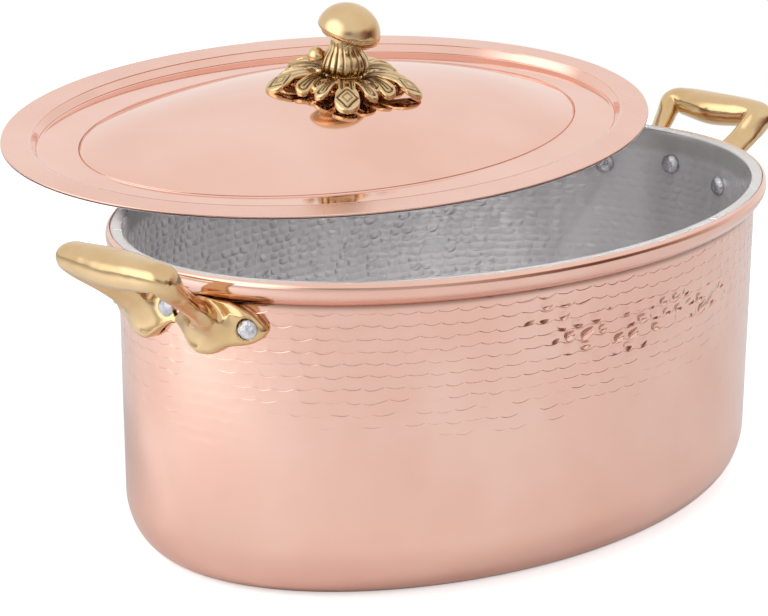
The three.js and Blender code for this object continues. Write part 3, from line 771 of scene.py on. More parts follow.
def wall_place(along):
    """Point and outward direction of the wall's face, a length along the rim from its end."""
    turn = np.interp(along, along_walk, walk)
    x, y = oval(turn, lip_overhang)
    nx, ny = rim_short * np.cos(turn), rim_long * np.sin(turn)
    size = np.hypot(nx, ny)
    return np.array([x, y]), np.array([nx / size, ny / size])


def wall_coordinates(x, y):
    """Length along the rim and distance out of the wall for points near the handle's end."""
    alongs = np.linspace(-75, 75, 601)
    spots, normals = wall_place(alongs)
    flat = np.stack([x.ravel(), y.ravel()], 1)
    along = np.empty(len(flat))
    proud = np.empty(len(flat))
    batch = 4000
    for start in range(0, len(flat), batch):
        part = flat[start:start + batch]
        gaps = ((part[:, None, :] - spots.T[None]) ** 2).sum(-1)
        best = gaps.argmin(1)
        offset = part - spots.T[best]
        proud[start:start + batch] = (offset * normals.T[best]).sum(1)
        tangent = np.stack([-normals.T[best][:, 1], normals.T[best][:, 0]], 1)
        along[start:start + batch] = alongs[best] + (offset * tangent).sum(1)
    return along.reshape(x.shape), proud.reshape(x.shape)


print("handle end, in mm from the middle:", wall_place(0.0)[0].round(1).tolist())

# %% Outline of the lug plate
def outline_distance(along, drop):
    """Signed distance to the lug's outline in the plane of the wall, negative inside."""
    half = np.array(lug_outline)
    top = smooth_line(half[:, [0, 1]], 1.0)
    bottom = smooth_line(half[:, [0, 2]], 1.0)
    ring = np.array(top + bottom[::-1])
    ring = np.vstack([ring, ring[::-1] * [-1, 1]])
    points = np.stack([along.ravel(), drop.ravel()], 1)
    ahead = np.roll(ring, -1, 0)
    best = np.full(len(points), 1e9)
    inside = np.zeros(len(points), bool)
    for a, b in zip(ring, ahead):
        edge_line = b - a
        length = edge_line @ edge_line
        if length < 1e-9:
            continue
        share = np.clip(((points - a) @ edge_line) / length, 0, 1)
        best = np.minimum(best, np.hypot(*(points - a - share[:, None] * edge_line).T))
        if a[1] != b[1]:
            crosses = (a[1] > points[:, 1]) != (b[1] > points[:, 1])
            where = a[0] + (points[:, 1] - a[1]) / (b[1] - a[1]) * (b[0] - a[0])
            inside ^= crosses & (points[:, 0] < where)
    return np.where(inside, -best, best).reshape(along.shape)


side_rivet = outline_distance(np.array([rivet_spacing]), np.array([side_drop]))
print("metal beside a side rivet's middle, in mm:", -side_rivet.round(1))

# %% Centre line of leg and grip
def handle_path():
    """Centre line of a leg and half the grip, with its section's direction and half sizes."""
    grip_x, grip_z = rim_long + grip_reach, pot_height + grip_rise
    foot_x = wall_place(leg_foot_spread)[0][0]
    foot_z = pot_height - leg_foot_drop

    def leg(share):
        """The point at a share of the way up the leg."""
        return (foot_x + (grip_x - 3 - foot_x) * share,
                leg_foot_spread + (grip_half_length - leg_foot_spread) * share,
                foot_z + (grip_z - 3 - foot_z) * share)

    rows = [
        ((foot_x - 1, leg_foot_spread - 1, foot_z - 3), (0, 1, 0), (9, 6)),
        (leg(0.28), (0.45, 0.9, 0), (leg_half_width + 1.6, 5)),
        (leg(0.52), (0.7, 0.7, 0), (leg_half_width, leg_half_thickness)),
        (leg(0.78), (0.75, 0.6, 0.1), (leg_half_width, leg_half_thickness + 0.8)),
        ((grip_x - 2, grip_half_length - 1, grip_z - 0.8), (1, 0.2, 0),
         (grip_half_depth - 0.6, grip_half_height - 1.2)),
        ((grip_x, grip_half_length - 9, grip_z), (1, 0, 0),
         (grip_half_depth, grip_half_height - 0.2)),
        ((grip_x - grip_swell * 0.5, 0, grip_z - grip_swell * 0.3), (1, 0, 0),
         (grip_half_depth + grip_swell, grip_half_height + grip_swell * 0.4)),
        ((grip_x, -grip_half_length + 9, grip_z), (1, 0, 0),
         (grip_half_depth, grip_half_height - 0.2)),
    ]
    table = np.array([[*at, *wide, *size] for at, wide, size in rows])
    line = []
    for i in range(1, len(table) - 2):
        line += [between(*table[i - 1:i + 3], share) for share in np.arange(12) / 12]
    first = [table[0] + (table[1] - table[0]) * s for s in np.arange(6) / 6]
    return np.array(first + line + [table[-2]])


print("points on the centre line of leg and grip:", len(handle_path()))

# %% Bar round the centre line
def bar_distance(points, path):
    """Distance to a bar of changing oval section round a centre line."""
    flat = points.reshape(-1, 3)
    best = np.full(len(flat), 1e9)
    where = np.zeros(len(flat), int)
    for i, row in enumerate(path):
        gap = ((flat - row[:3]) ** 2).sum(1)
        closer = gap < best
        best = np.where(closer, gap, best)
        where[closer] = i
    before = np.clip(where - 1, 0, len(path) - 1)
    after = np.clip(where + 1, 0, len(path) - 1)
    tangent = path[after, :3] - path[before, :3]
    tangent /= np.linalg.norm(tangent, axis=1)[:, None]
    offset = flat - path[where, :3]
    slide = (offset * tangent).sum(1)
    spacing = np.linalg.norm(path[after, :3] - path[before, :3], axis=1)
    spacing = spacing / np.maximum(after - before, 1)
    share = np.clip(slide / spacing, -0.5, 0.5)
    other = np.clip(where + np.sign(share).astype(int), 0, len(path) - 1)
    weight = np.abs(share)[:, None]
    row = path[where] * (1 - weight) + path[other] * weight
    offset = flat - row[:, :3]
    wide = row[:, 3:6] - (row[:, 3:6] * tangent).sum(1)[:, None] * tangent
    wide /= np.linalg.norm(wide, axis=1)[:, None]
    thin = np.cross(tangent, wide)
    a = (offset * wide).sum(1) / row[:, 6]
    b = (offset * thin).sum(1) / row[:, 7]
    c = (offset * tangent).sum(1) / row[:, 7]
    size = (np.abs(a) ** squareness + np.abs(b) ** squareness
            + np.abs(c) ** squareness) ** (1 / squareness)
    return ((size - 1) * np.minimum(row[:, 6], row[:, 7])).reshape(points.shape[:-1])


grip_middle = np.array([[rim_long + grip_reach, 0, pot_height + grip_rise]])
print("distance at the grip's middle, in mm:", bar_distance(grip_middle, handle_path()).round(1))

# %% Lug plate
table_step = 0.5
table_reach = 60
table_depth = 45
round_edge = 3.2
chisel_cuts = [
    (36.0, 12.8, 6.9, (0.05, -0.5, 0.86)),
    (44.0, 14.6, 6.3, (0.42, -0.5, 0.76)),
    (33.0, 15.0, 7.3, (-0.22, -0.2, 0.95)),
]


def outline_lookup(along, drop):
    """The outline's distance, read from a table, because few points are much faster than all."""
    rows = np.arange(-table_reach, table_reach + 0.01, table_step)
    drops = np.arange(0, table_depth + 0.01, table_step)
    table = outline_distance(*np.meshgrid(rows, drops, indexing="ij"))
    a = np.clip((along + table_reach) / table_step, 0, len(rows) - 1.001) + 0 * drop
    d = np.clip(drop / table_step, 0, len(drops) - 1.001)
    low_a, low_d = a.astype(int), d.astype(int)
    part_a, part_d = a - low_a, d - low_d
    flat = (table[low_a, low_d] * (1 - part_a) * (1 - part_d)
            + table[low_a + 1, low_d] * part_a * (1 - part_d)
            + table[low_a, low_d + 1] * (1 - part_a) * part_d
            + table[low_a + 1, low_d + 1] * part_a * part_d)
    return flat + np.maximum(0, -drop) + np.maximum(0, drop - table_depth)


def lug_plate(along, drop, proud):
    """Distance to the plate: rounded along its edge, with the facets cut off it."""
    flat = outline_lookup(along, drop)
    height = lug_thickness - 2.2 * np.clip((np.abs(along) - 38) / 12.4, 0, 1) ** 2
    a = np.maximum(flat + round_edge, 0)
    b = np.maximum(proud - height + round_edge, 0)
    plate = (np.hypot(a, b) - round_edge
             + np.minimum(np.maximum(flat, proud - height) + round_edge, 0))
    for spot, fall, out, direction in chisel_cuts:
        across = (np.abs(along) - spot) * direction[0]
        plate = np.maximum(plate, across + (drop - fall) * direction[1]
                           + (proud - out) * direction[2])
    return plate


print("facets cut off each end of the plate:", len(chisel_cuts))

# %% Whole handle as one field
def lip_flare(z):
    """How far the lip stands out from the wall's face at a height."""
    insets, heights = np.array(lip_line)[1:-2].T
    flare = np.interp(z, [0, wall_top[1], *heights], [-wall_taper, 0, *(lip_overhang - insets)])
    return np.where(z > rim_top + 0.4, -99, np.maximum(flare, 0))


def handle_field(points):
    """Distance to the casting: plate and bar melted together, cut for wall, lip and rivets."""
    x, y, z = points[..., 0], points[..., 1], points[..., 2]
    along, proud = wall_coordinates(x[:, :, 0], y[:, :, 0])
    along, proud = along[:, :, None], proud[:, :, None]
    drop = pot_height - z
    mirrored = np.stack([x, np.abs(y), z], -1)
    bar = bar_distance(mirrored, handle_path())
    body = soft_min(lug_plate(along, drop, proud), bar, handle_blend)
    body = np.maximum(body, lip_flare(z) + handle_gap - proud)
    for where, fall in ((-rivet_spacing, side_drop), (0, middle_drop), (rivet_spacing, side_drop)):
        ring = np.hypot(along - where, drop - fall)
        pocket = np.maximum(ring - outer_head_radius - pocket_edge, outer_seat + 0.05 - proud)
        body = soft_max(body, -pocket, pocket_edge)
        body = np.maximum(body, shank_hole - ring)
    return body


print("lip in front of the wall, in mm:", lip_flare(np.array([pot_height])).round(1))

# %% Both handles
handle_step = 0.6
handle_low = (rim_long - 30, -handle_half_width, pot_height - 38)
handle_high = (rim_long + grip_reach + 12, handle_half_width, pot_height + 20)
handle_right = skin_field("handle_right_cast", handle_field, handle_low, handle_high,
                          handle_step, cast_brass)
mesh = handle_right.data.copy()
mesh.transform(Matrix.Rotation(math.pi, 4, "Z"))
handle_left = put_in_scene("handle_left_cast", mesh)
for piece, node in ((handle_right, "handle_right"), (handle_left, "handle_left")):
    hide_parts(node)
    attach(piece, "pot")
print("handle faces:", len(handle_right.data.polygons), "box mm:",
      [round(v / MM, 1) for v in handle_right.dimensions])

# %% [markdown]
# ## Rivets
#
# Each handle is held by three rivets. The visible ends were closed with a hammer, so their
# domes are not quite round. One rivet is turned as a closed shape; Geometry Nodes puts six
# copies on points on the two ends of the wall, turns each to face outward, and then dents
# the heads with a noise that differs from place to place.

# %% One rivet
shank_radius = 2.6
outer_head_height = 2.4
inner_head_radius = 5.2
inner_head_height = 3.2
inner_seat = -(wall_thickness + seam + 0.55)


def lathe(profile, parts):
    """A closed turned shape: (radius, height) from the axis round to the axis, in mm."""
    turn = np.arange(parts) * 2 * math.pi / parts
    points = [[0, 0, profile[0][1]]]
    for radius, height in profile[1:-1]:
        points += np.stack([radius * np.cos(turn), radius * np.sin(turn),
                            np.full(parts, height)], 1).tolist()
    points.append([0, 0, profile[-1][1]])
    return np.array(points), ring_faces(len(profile) - 2, parts)


inner_dome = [(inner_head_radius * math.sin(a) ** 0.8,
               inner_seat - inner_head_height * math.cos(a) ** 1.1)
              for a in np.linspace(0, math.pi / 2, 12)]
outer_dome = [(outer_head_radius * math.cos(a) ** 0.75,
               outer_seat + seam + (outer_head_height - seam) * (0.25 + 0.75 * math.sin(a)))
              for a in np.linspace(0, math.pi / 2, 10)]
rivet_profile = [
    *inner_dome, (inner_head_radius - 0.3, inner_seat + 0.02), (shank_radius, inner_seat),
    (shank_radius, outer_seat + seam), (outer_head_radius - 0.1, outer_seat + seam),
    *outer_dome[:-1], (0, outer_seat + outer_head_height),
]
points, faces = lathe(rivet_profile, 40)
rivet = make_mesh("rivet", points * MM, faces, rivet_metal)
print("rivet faces:", len(faces))

# %% Where the six rivets sit
rivet_nodes = [f"rivet_{end}_{place}"
               for end in ("left", "right") for place in ("front", "middle", "back")]
rivet_middle = (inner_seat - inner_head_height + outer_seat + outer_head_height) / 2
spots, outward = [], []
for node in rivet_nodes:
    low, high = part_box(node)
    middle = (low + high) / 2
    turn = math.atan2(middle.y / rim_short, middle.x / rim_long)
    facing = Vector((rim_short * math.cos(turn), rim_long * math.sin(turn), 0)).normalized()
    spots.append(middle - facing * rivet_middle * MM)
    outward.append(facing)
mesh = bpy.data.meshes.new("rivets")
mesh.from_pydata(spots, [], [])
facings = mesh.attributes.new("outward", "FLOAT_VECTOR", "POINT")
facings.data.foreach_set("vector", np.ravel(outward))
rivets = put_in_scene("rivets", mesh)
print("rivets to set:", len(spots))

# %% Six rivets by Geometry Nodes
numbers = {"Dent": 0.9 * MM, "Dent size": 3 * MM}
tree, keys, given = node_tree("set the rivets", numbers)
facing = add(tree, "GeometryNodeInputNamedAttribute", {"Name": "outward"},
             data_type="FLOAT_VECTOR").outputs["Attribute"]
turn = add(tree, "FunctionNodeAlignRotationToVector", {"Vector": facing}, axis="Z")
shape = add(tree, "GeometryNodeObjectInfo", {"Object": rivet})
put = add(tree, "GeometryNodeInstanceOnPoints", {
    "Points": given["Geometry"], "Instance": shape.outputs["Geometry"],
    "Rotation": turn.outputs[0]})
real = add(tree, "GeometryNodeRealizeInstances", {0: put.outputs[0]})
noise = add(tree, "ShaderNodeTexNoise", {
    "Scale": calc(tree, "1 / size", size=given["Dent size"]), "Detail": 1.0})
push = calc(tree, "(noise - 0.5) * dent", noise=noise.outputs["Fac"], dent=given["Dent"])
normal = add(tree, "GeometryNodeInputNormal").outputs[0]
offset = add(tree, "ShaderNodeVectorMath", {0: normal, "Scale": push},
             operation="SCALE").outputs[0]
moved = add(tree, "GeometryNodeSetPosition", {"Geometry": real.outputs[0], "Offset": offset})
dressed = add(tree, "GeometryNodeSetMaterial", {
    "Geometry": moved.outputs[0], "Material": rivet_metal})
add(tree, "NodeGroupOutput", {0: dressed.outputs[0]})
bake_tree(rivets, tree, keys, numbers)
bpy.data.objects.remove(rivet)
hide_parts(*rivet_nodes)
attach(rivets, "pot")
print("rivets:", len(rivets.data.polygons), "faces")

# %% [markdown]
# ## Where the lid lies
#
# The lid is turned, tilted and shifted on the rim. Its pieces are drawn about the finial's
# axis, upright and in millimetres, and one matrix then lays them where the frame's lid lies,
# in metres. It takes its turn from the three angles and its place from the frame's own meshes.

# %% Lid placement
lid_tilt, lid_lean, lid_turn = (math.radians(a) for a in (6.3, -2.3, -9.6))
lid_axes = (Matrix.Rotation(lid_lean, 3, "Y") @ Matrix.Rotation(lid_tilt, 3, "X")
            @ Matrix.Rotation(lid_turn, 3, "Z"))
dome_height = 18.5


def upright(node):
    """A frame node's points in mm, turned back to the lid's own axes."""
    return coordinates(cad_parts[node]) @ np.array(lid_axes) / MM


screw_points, lid_points = upright("finial_screw"), upright("lid_shell")
axis_x, axis_y = ((screw_points.max(0) + screw_points.min(0)) / 2)[:2]
lid_low, lid_high = lid_points.min(0), lid_points.max(0)
flange_level = lid_high[2] - dome_height
oval_middle = ((lid_low + lid_high) / 2)[:2] - (axis_x, axis_y)
lid_place = (Matrix.Translation(lid_axes @ Vector((axis_x, axis_y, flange_level)) * MM)
             @ lid_axes.to_4x4() @ Matrix.Scale(MM, 4))
print("finial axis", [round(v / MM, 1) for v in lid_place.translation],
      "oval middle", oval_middle.round(2))

# %% [markdown]
# ## Lid
#
# The lid is one spun and pressed sheet: a flat flange, a step down into a shallow trough, a
# small step up, and the crown. The rings of the loft follow that section, with rounded
# bends, because pressed sheet has no sharp corner.

# %% Sizes of the lid's section
lid_inset = 4.33
lid_around = 384
lid_copper = 1.0
lid_tin = 0.4
lid_thickness = lid_copper + seam + lid_tin
flange_width = 15.2
recess_depth = 4.5
recess_wall = 2.2
recess_width = 21.3
dome_step = 1.6
dome_fullness = 1.8
crown_flat = 0.12
recess_start = lid_inset + flange_width
recess_floor = recess_start + recess_wall
dome_start = recess_floor + recess_width
dome_edge = dome_start + dome_step
dome_rings = 50
print("crown begins", round(dome_edge, 1), "mm inside the rim")

# %% Face of the lid
def dome_drop(share):
    """How far the crown has fallen below its top at a share of the way to its edge."""
    past = np.maximum(0, share - crown_flat) / (1 - crown_flat)
    return (dome_height + recess_depth - dome_step) * past ** dome_fullness


def lid_face(depth):
    """Rings of the lid's face at a depth, from the edge to the middle."""
    drop = depth * 0.25
    section = smooth_line([
        (lid_inset + 0.4, -depth), (recess_start - 1.2 - drop, -depth),
        (recess_start - 0.3 - drop, -depth - 0.25),
        ((recess_start + recess_floor) / 2 - drop, -recess_depth / 2 - depth),
        (recess_floor + 0.3 - drop, -recess_depth - depth + 0.25),
        (recess_floor + 1.2 - drop, -recess_depth - depth),
        (dome_start - 1 + drop, -recess_depth - depth),
        (dome_start + 0.2 + drop, -recess_depth - depth + 0.35),
        (dome_edge + drop, dome_step - recess_depth - depth),
    ], 0.6)
    rings = [(a, b, 1.0) for a, b in section]
    for share in np.linspace(0.985, 0.02, dome_rings):
        rings.append((dome_edge + drop, dome_height - dome_drop(share) - depth, share))
    return rings


print("rings of the lid's upper face:", len(lid_face(0)))

# %% Lid shell and lining
def lid_sheet(name, top, bottom, material, node):
    """One sheet of the lid, between two depths below its upper face."""
    edge_rings = [(lid_inset + 0.12, -bottom + 0.12, 1.0), (lid_inset, -(top + bottom) / 2, 1.0),
                  (lid_inset + 0.12, -top - 0.12, 1.0)]
    rings = [(0, dome_height - bottom, 1), *lid_face(bottom)[::-1], *edge_rings,
             *lid_face(top), (0, dome_height - top, 1)]
    points, faces = oval_loft(rings, lid_around)
    insets, _, shares = np.repeat(rings[1:-1], lid_around, axis=0).T
    points[1:-1, :2] += oval_middle * shares[:, None]
    piece = make_mesh(name, points, faces, material)
    on_flange = (shares == 1) & (insets < recess_start - 1.3)
    store(piece, "flange", [0, *on_flange, 0])
    piece.data.transform(lid_place)
    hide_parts(node)
    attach(piece, "lid")
    return piece


lid_top = lid_sheet("lid_copper", 0, lid_copper, polished_copper, "lid_shell")
lid_sheet("lid_tin", lid_copper + seam, lid_thickness, smooth_tin, "lid_lining")
print("lid triangles:", sum(len(p.vertices) - 2 for p in lid_top.data.polygons))

# %% [markdown]
# ## Leaves
#
# The finial stands on five cast leaves. One leaf is drawn as a distance field: its outline is
# a union of lobes, its face is folded along a vein in each lobe, and the whole is a sheet
# nearly 3 mm thick. Geometry Nodes then sets five of them round the axis and lifts them onto
# the crown, so that the tips hover just over the copper and are mirrored in it.

# %% Sizes of a leaf
leaf_count = 5
leaf_turn = math.radians(-124.6)
leaf_reach = 43
leaf_thickness = 2.9
leaf_arch = 6
leaf_root = 4.5
tip_droop = 0.8
lobe_droop = 3.2
tip_middle = 34.6
lobes = [
    ((6, 0), (32, 0), 4.2, 4.6),
    ((33, 0), (35.4, 0), 6.2, 6.6),
    ((12, 3), (26.5, 12.2), 2.8, 4.2),
    ((11, 3.5), (19.2, 14.2), 2.6, 3.8),
]
print("leaf reach", leaf_reach, "mm,", 2 * len(lobes) - 2, "lobes drawn")

# %% Face of a leaf
def leaf_shape(x, y):
    """Outline distance, top height, and how deep in a groove points of a leaf lie."""
    y = np.abs(y)
    flat = np.full(np.shape(x), 1e9)
    vein = np.zeros(np.shape(x))
    for (ax, ay), (bx, by), start_half, end_half in lobes:
        dx, dy = bx - ax, by - ay
        length = math.hypot(dx, dy)
        share = np.clip(((x - ax) * dx + (y - ay) * dy) / length ** 2, 0, 1)
        away = np.hypot(x - ax - share * dx, y - ay - share * dy)
        distance = away - start_half - (end_half - start_half) * share ** 1.5
        if ay:
            line = np.exp(-(away / 0.55) ** 2) * (distance < flat + 1)
            vein = np.maximum(vein, line)
        flat = soft_min(distance, flat, 0.8)
    out = np.hypot(x, y)
    reach = np.clip(out / leaf_reach, 0, 1.1)
    top = leaf_root - (leaf_root + tip_droop) * reach ** 1.5 - lobe_droop * (y / 15) ** 2
    top = top + leaf_arch * np.sin(math.pi * np.minimum(reach, 1) ** 1.3)
    top = top - 1.8 * np.clip((17 - out) / 8, 0, 1)
    jewel = np.abs(x - tip_middle) / 5.6 + y / 4.9
    on_tip = np.clip((x - 28) / 2, 0, 1)
    rim = np.exp(-((flat + 0.9) / 0.5) ** 2)
    moat = np.exp(-((flat + 2.2) / 0.5) ** 2) * (1 - on_tip)
    cut = on_tip * np.maximum(np.exp(-((jewel - 1.05) / 0.15) ** 2),
                              0.7 * np.exp(-((jewel - 0.5) / 0.11) ** 2))
    rays = (0.5 + 0.5 * np.cos(26 * np.arctan2(y, x))) ** 3 * np.clip((24 - out) / 10, 0, 1)
    groove = np.clip(np.maximum.reduce([vein, moat, cut, rays * (flat < -1)]), 0, 1)
    return flat, top + 0.35 * rim - 0.85 * groove, groove


print("height of a leaf at its tip's middle, in mm:", leaf_shape(tip_middle, 0)[1].round(1))

# %% Leaf as a field
def leaf_field(points):
    """Distance to the leaf as a sheet of one thickness with rounded edges."""
    flat, top, _ = leaf_shape(points[:, :, 0, 0], points[:, :, 0, 1])
    flat = flat[:, :, None]
    half = leaf_thickness / 2
    gap = np.abs(points[..., 2] - top[:, :, None] + half) - half
    rounding = 0.6
    return (np.hypot(np.maximum(flat + rounding, 0), np.maximum(gap + rounding, 0)) - rounding
            + np.minimum(np.maximum(flat, gap) + rounding, 0))


print("a leaf is", leaf_thickness, "mm thick")

# %% One leaf and the hub
leaf_step = 0.44
leaf = skin_field("leaf", leaf_field, (5, -20, -6), (45, 20, 14), leaf_step, cast_brass)
x, y, z = (coordinates(leaf) / MM).T
_, top, groove = leaf_shape(x, y)
store(leaf, "recess", groove * (z > top - 1))
hub_height = 5
hub_rows = [(0, seam), (9.4, seam), (10, 0.9), (10, 4.4), (9.4, hub_height), (0, hub_height)]
hub_points, hub_faces = lathe(hub_rows, 64)
hub = make_mesh("hub", hub_points * MM, hub_faces, cast_brass)
print("leaf faces:", len(leaf.data.polygons))

# %% Five leaves and their hub
numbers = {"Leaves": float(leaf_count), "First turn": leaf_turn,
           "Crown": (dome_height + seam) * MM}
mesh = bpy.data.meshes.new("leaf_rosette_cast")
mesh.from_pydata([(0, 0, 0)], [], [])
rosette = put_in_scene("leaf_rosette_cast", mesh)
tree, keys, given = node_tree("leaf rosette", numbers)
ring = add(tree, "GeometryNodeMeshLine", {"Count": leaf_count, "Offset": (0, 0, 0)})
index = add(tree, "GeometryNodeInputIndex").outputs[0]
angle = calc(tree, "first + i * 6.2831853 / count", first=given["First turn"], i=index,
             count=given["Leaves"])
spin = add(tree, "ShaderNodeCombineXYZ", {2: angle})
shape = add(tree, "GeometryNodeObjectInfo", {"Object": leaf})
put = add(tree, "GeometryNodeInstanceOnPoints", {
    "Points": ring.outputs[0], "Instance": shape.outputs["Geometry"], "Rotation": spin.outputs[0]})
real = add(tree, "GeometryNodeRealizeInstances", {0: put.outputs[0]})
lift = add(tree, "ShaderNodeCombineXYZ", {2: given["Crown"]})
lifted = add(tree, "GeometryNodeSetPosition", {
    "Geometry": real.outputs[0], "Offset": lift.outputs[0]})
centre = add(tree, "GeometryNodeObjectInfo", {"Object": hub})
raised = add(tree, "GeometryNodeTransform", {
    "Geometry": centre.outputs["Geometry"], "Translation": (0, 0, dome_height * MM)})
joined = add(tree, "GeometryNodeJoinGeometry", {0: lifted.outputs[0]})
tree.links.new(raised.outputs[0], joined.inputs[0])
dressed = add(tree, "GeometryNodeSetMaterial", {
    "Geometry": joined.outputs[0], "Material": cast_brass})
add(tree, "NodeGroupOutput", {0: dressed.outputs[0]})
bake_tree(rosette, tree, keys, numbers)
for spare in (leaf, hub):
    bpy.data.objects.remove(spare)
print("nodes in the tree of leaves:", len(tree.nodes))

# %% Rosette on the lid
rosette.data.transform(lid_place @ Matrix.Scale(1 / MM, 4))
rosette.data.shade_smooth()
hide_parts("leaf_rosette")
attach(rosette, "lid")
print("rosette faces:", len(rosette.data.polygons))

# %% [markdown]
# ## Stalk, bud and cap
#
# The stalk is a bellied, fluted column. Beside it leans a small bud on a stem. The cap is an
# egg, polished and set a little aslant.

# %% Sizes of the stalk and its bud
rosette_foot = dome_height + seam
stalk_foot = rosette_foot + hub_height + seam
stalk_height = 18.8
stalk_top = stalk_foot + stalk_height
stalk_rows = [(0, 9.1), (0.18, 12.0), (0.34, 12.5), (0.55, 11.2), (0.78, 8.5), (1, 7.8)]
flute_count = 19
flute_width = 0.055
belly_wave = 0.25
bud_radius = 4.9
bud_turn = math.radians(141)
bud_offset = 13.6
bud_height = 9.2
around_stalk = 300
stalk_levels = 60
print("stalk from", round(stalk_foot, 1), "to", round(stalk_top, 1), "mm above the lid's flange")

# %% Fluted stalk
dice = np.random.default_rng(7)
flute_turns = np.arange(flute_count) + dice.uniform(-0.28, 0.28, flute_count)
flute_turns = flute_turns * 2 * math.pi / flute_count
flute_depths = dice.uniform(0.35, 1.1, flute_count)


def fluted_stalk():
    """Points and faces of the stalk, and how deep in a flute each point lies."""
    shares = np.linspace(0, 1, stalk_levels)
    rows = np.array(smooth_line([(s * 20, r) for s, r in stalk_rows], 0.5))
    radii = np.interp(shares, rows[:, 0] / 20, rows[:, 1])
    turn = np.arange(around_stalk) * 2 * math.pi / around_stalk
    points, depth = [[0, 0, 0]], [0]
    for share, radius in zip(shares, radii):
        apart = turn[:, None] - flute_turns - 0.1 * math.sin(4 * share)
        apart = (apart + math.pi) % (2 * math.pi) - math.pi
        cut = (flute_depths * np.exp(-(apart / flute_width) ** 2)).sum(1)
        cut *= math.sin(math.pi * min(0.2 + 0.7 * share, 1))
        size = radius - 0.9 * cut + belly_wave * np.cos(3 * turn + 2)
        points += np.stack([size * np.cos(turn), size * np.sin(turn),
                            np.full(around_stalk, share * stalk_height)], 1).tolist()
        depth += cut.tolist()
    points.append([0, 0, stalk_height])
    return np.array(points), ring_faces(stalk_levels, around_stalk), np.array(depth + [0])


points, faces, depth = fluted_stalk()
stalk = make_mesh("finial_stalk_cast", points + [0, 0, stalk_foot], faces, cast_brass)
store(stalk, "recess", np.clip(depth * 1.6, 0, 0.95))
print("deepest flute:", round(float(0.9 * depth.max()), 2), "mm")

# %% Cap
def cap_profile(radius, height):
    """Half section of a mushroom cap from the middle of its underside to its top."""
    rows = [(0, 0.07 * height), (radius * 0.5, 0.04 * height), (radius * 0.8, 0.02 * height)]
    for angle in np.radians(np.linspace(-50, 90, 30)):
        rise = 0.78 if angle > 0 else 0.24
        rows.append((radius * math.cos(angle), height * (0.22 + rise * math.sin(angle))))
    return [*rows[:-1], (0, height)]


def turned_piece(name, profile, parts, *moves):
    """A turned piece of brass, with each move applied to its mesh in order."""
    points, faces = lathe(profile, parts)
    piece = make_mesh(name, points, faces, cast_brass)
    for move in moves:
        piece.data.transform(move)
    return piece


cap_radius, cap_height = 16.6, 18.8
cap_tilt, cap_tilt_turn = math.radians(17), math.radians(51)
cap_tilt_axis = Vector((math.cos(cap_tilt_turn), math.sin(cap_tilt_turn), 0))
cap = turned_piece("finial_cap_cast", cap_profile(cap_radius, cap_height), 96,
                   Matrix.Rotation(cap_tilt, 4, cap_tilt_axis),
                   Matrix.Translation((0, 0, stalk_top)))
print("cap", 2 * cap_radius, "mm wide and", cap_height, "mm high")

# %% Bud
onto_hub = Matrix.Translation((0, 0, stalk_foot))
to_bud = Matrix.Rotation(bud_turn, 4, "Z")
bud_cap = turned_piece("bud_cap", cap_profile(bud_radius, bud_radius * 1.5), 40,
                       Matrix.Rotation(math.radians(20), 4, "Y"),
                       Matrix.Translation((bud_offset, 0, bud_height - bud_radius * 0.5)),
                       to_bud, onto_hub)
stem_rows = [(0, -6.5), (2.0, -6.5), (2.4, -3), (2.6, 2), (2.4, 6.5), (0, 6.5)]
bud_stem = turned_piece("bud_stem", stem_rows, 32, Matrix.Rotation(math.radians(48), 4, "Y"),
                        Matrix.Translation((bud_offset * 0.68, 0, bud_height * 0.6)),
                        to_bud, onto_hub)
ball_radius = 2.3
ball_rows = [(ball_radius * math.cos(a), ball_radius * math.sin(a))
             for a in np.linspace(-math.pi / 2, math.pi / 2, 14)]
ball_rows = [(0, -ball_radius), *ball_rows[1:-1], (0, ball_radius)]
bud_ball = turned_piece("bud_ball", ball_rows, 28,
                        Matrix.Translation((bud_offset * 0.95, 0, 1.6)),
                        Matrix.Rotation(bud_turn + 0.25, 4, "Z"), onto_hub)
print("bud faces:", len(bud_cap.data.polygons) + len(bud_stem.data.polygons))

# %% Stalk with its bud, and the cap, on the lid
with bpy.context.temp_override(active_object=stalk,
                               selected_editable_objects=[stalk, bud_cap, bud_stem, bud_ball]):
    bpy.ops.object.join()
for piece, node in ((stalk, "finial_stalk"), (cap, "finial_cap")):
    piece.data.transform(lid_place)
    piece.data.shade_smooth()
    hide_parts(node)
    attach(piece, "lid")
print("stalk and cap faces:", len(stalk.data.polygons), len(cap.data.polygons))

# %% [markdown]
# ## What stays of the frame
#
# Two small pieces, the screw and its washer under the lid, are already right in the frame.
# They keep their mesh and only get their finish. Every other node is replaced by a piece
# above, and is hidden.

# %% Materials on the frame's own pieces
for node in ("finial_screw", "finial_washer"):
    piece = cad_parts[node]
    piece.data.materials.clear()
    piece.data.materials.append(plain_steel)
    print(node, "is finished in", plain_steel.name)

# %% [markdown]
# ## Camera
#
# A long lens from about one and a half metres, a little above the rim. The small roll and
# the two shifts are those of a camera that was levelled by eye and of a picture that was
# cropped afterwards.

# %% Camera
eye = Vector((-1.10605, -0.94912, 0.51453))
look = (Vector((-0.03594, 0, 0.1032)) - eye).normalized()
side = look.cross(Vector((0, 0, 1))).normalized()
turned = Matrix((side, side.cross(look), -look)).transposed().to_4x4()
lens = bpy.data.cameras.new("camera")
camera = put_in_scene("camera", lens)
roll = Matrix.Rotation(math.radians(0.37), 4, "Z")
camera.matrix_world = Matrix.Translation(eye) @ turned @ roll
lens.sensor_width = 36
lens.lens = 144.59
lens.shift_x = -0.01802
lens.shift_y = -0.00645
lens.clip_end = 10
scene.camera = camera
print("camera", round(eye.length, 2), "m from the pot's foot")

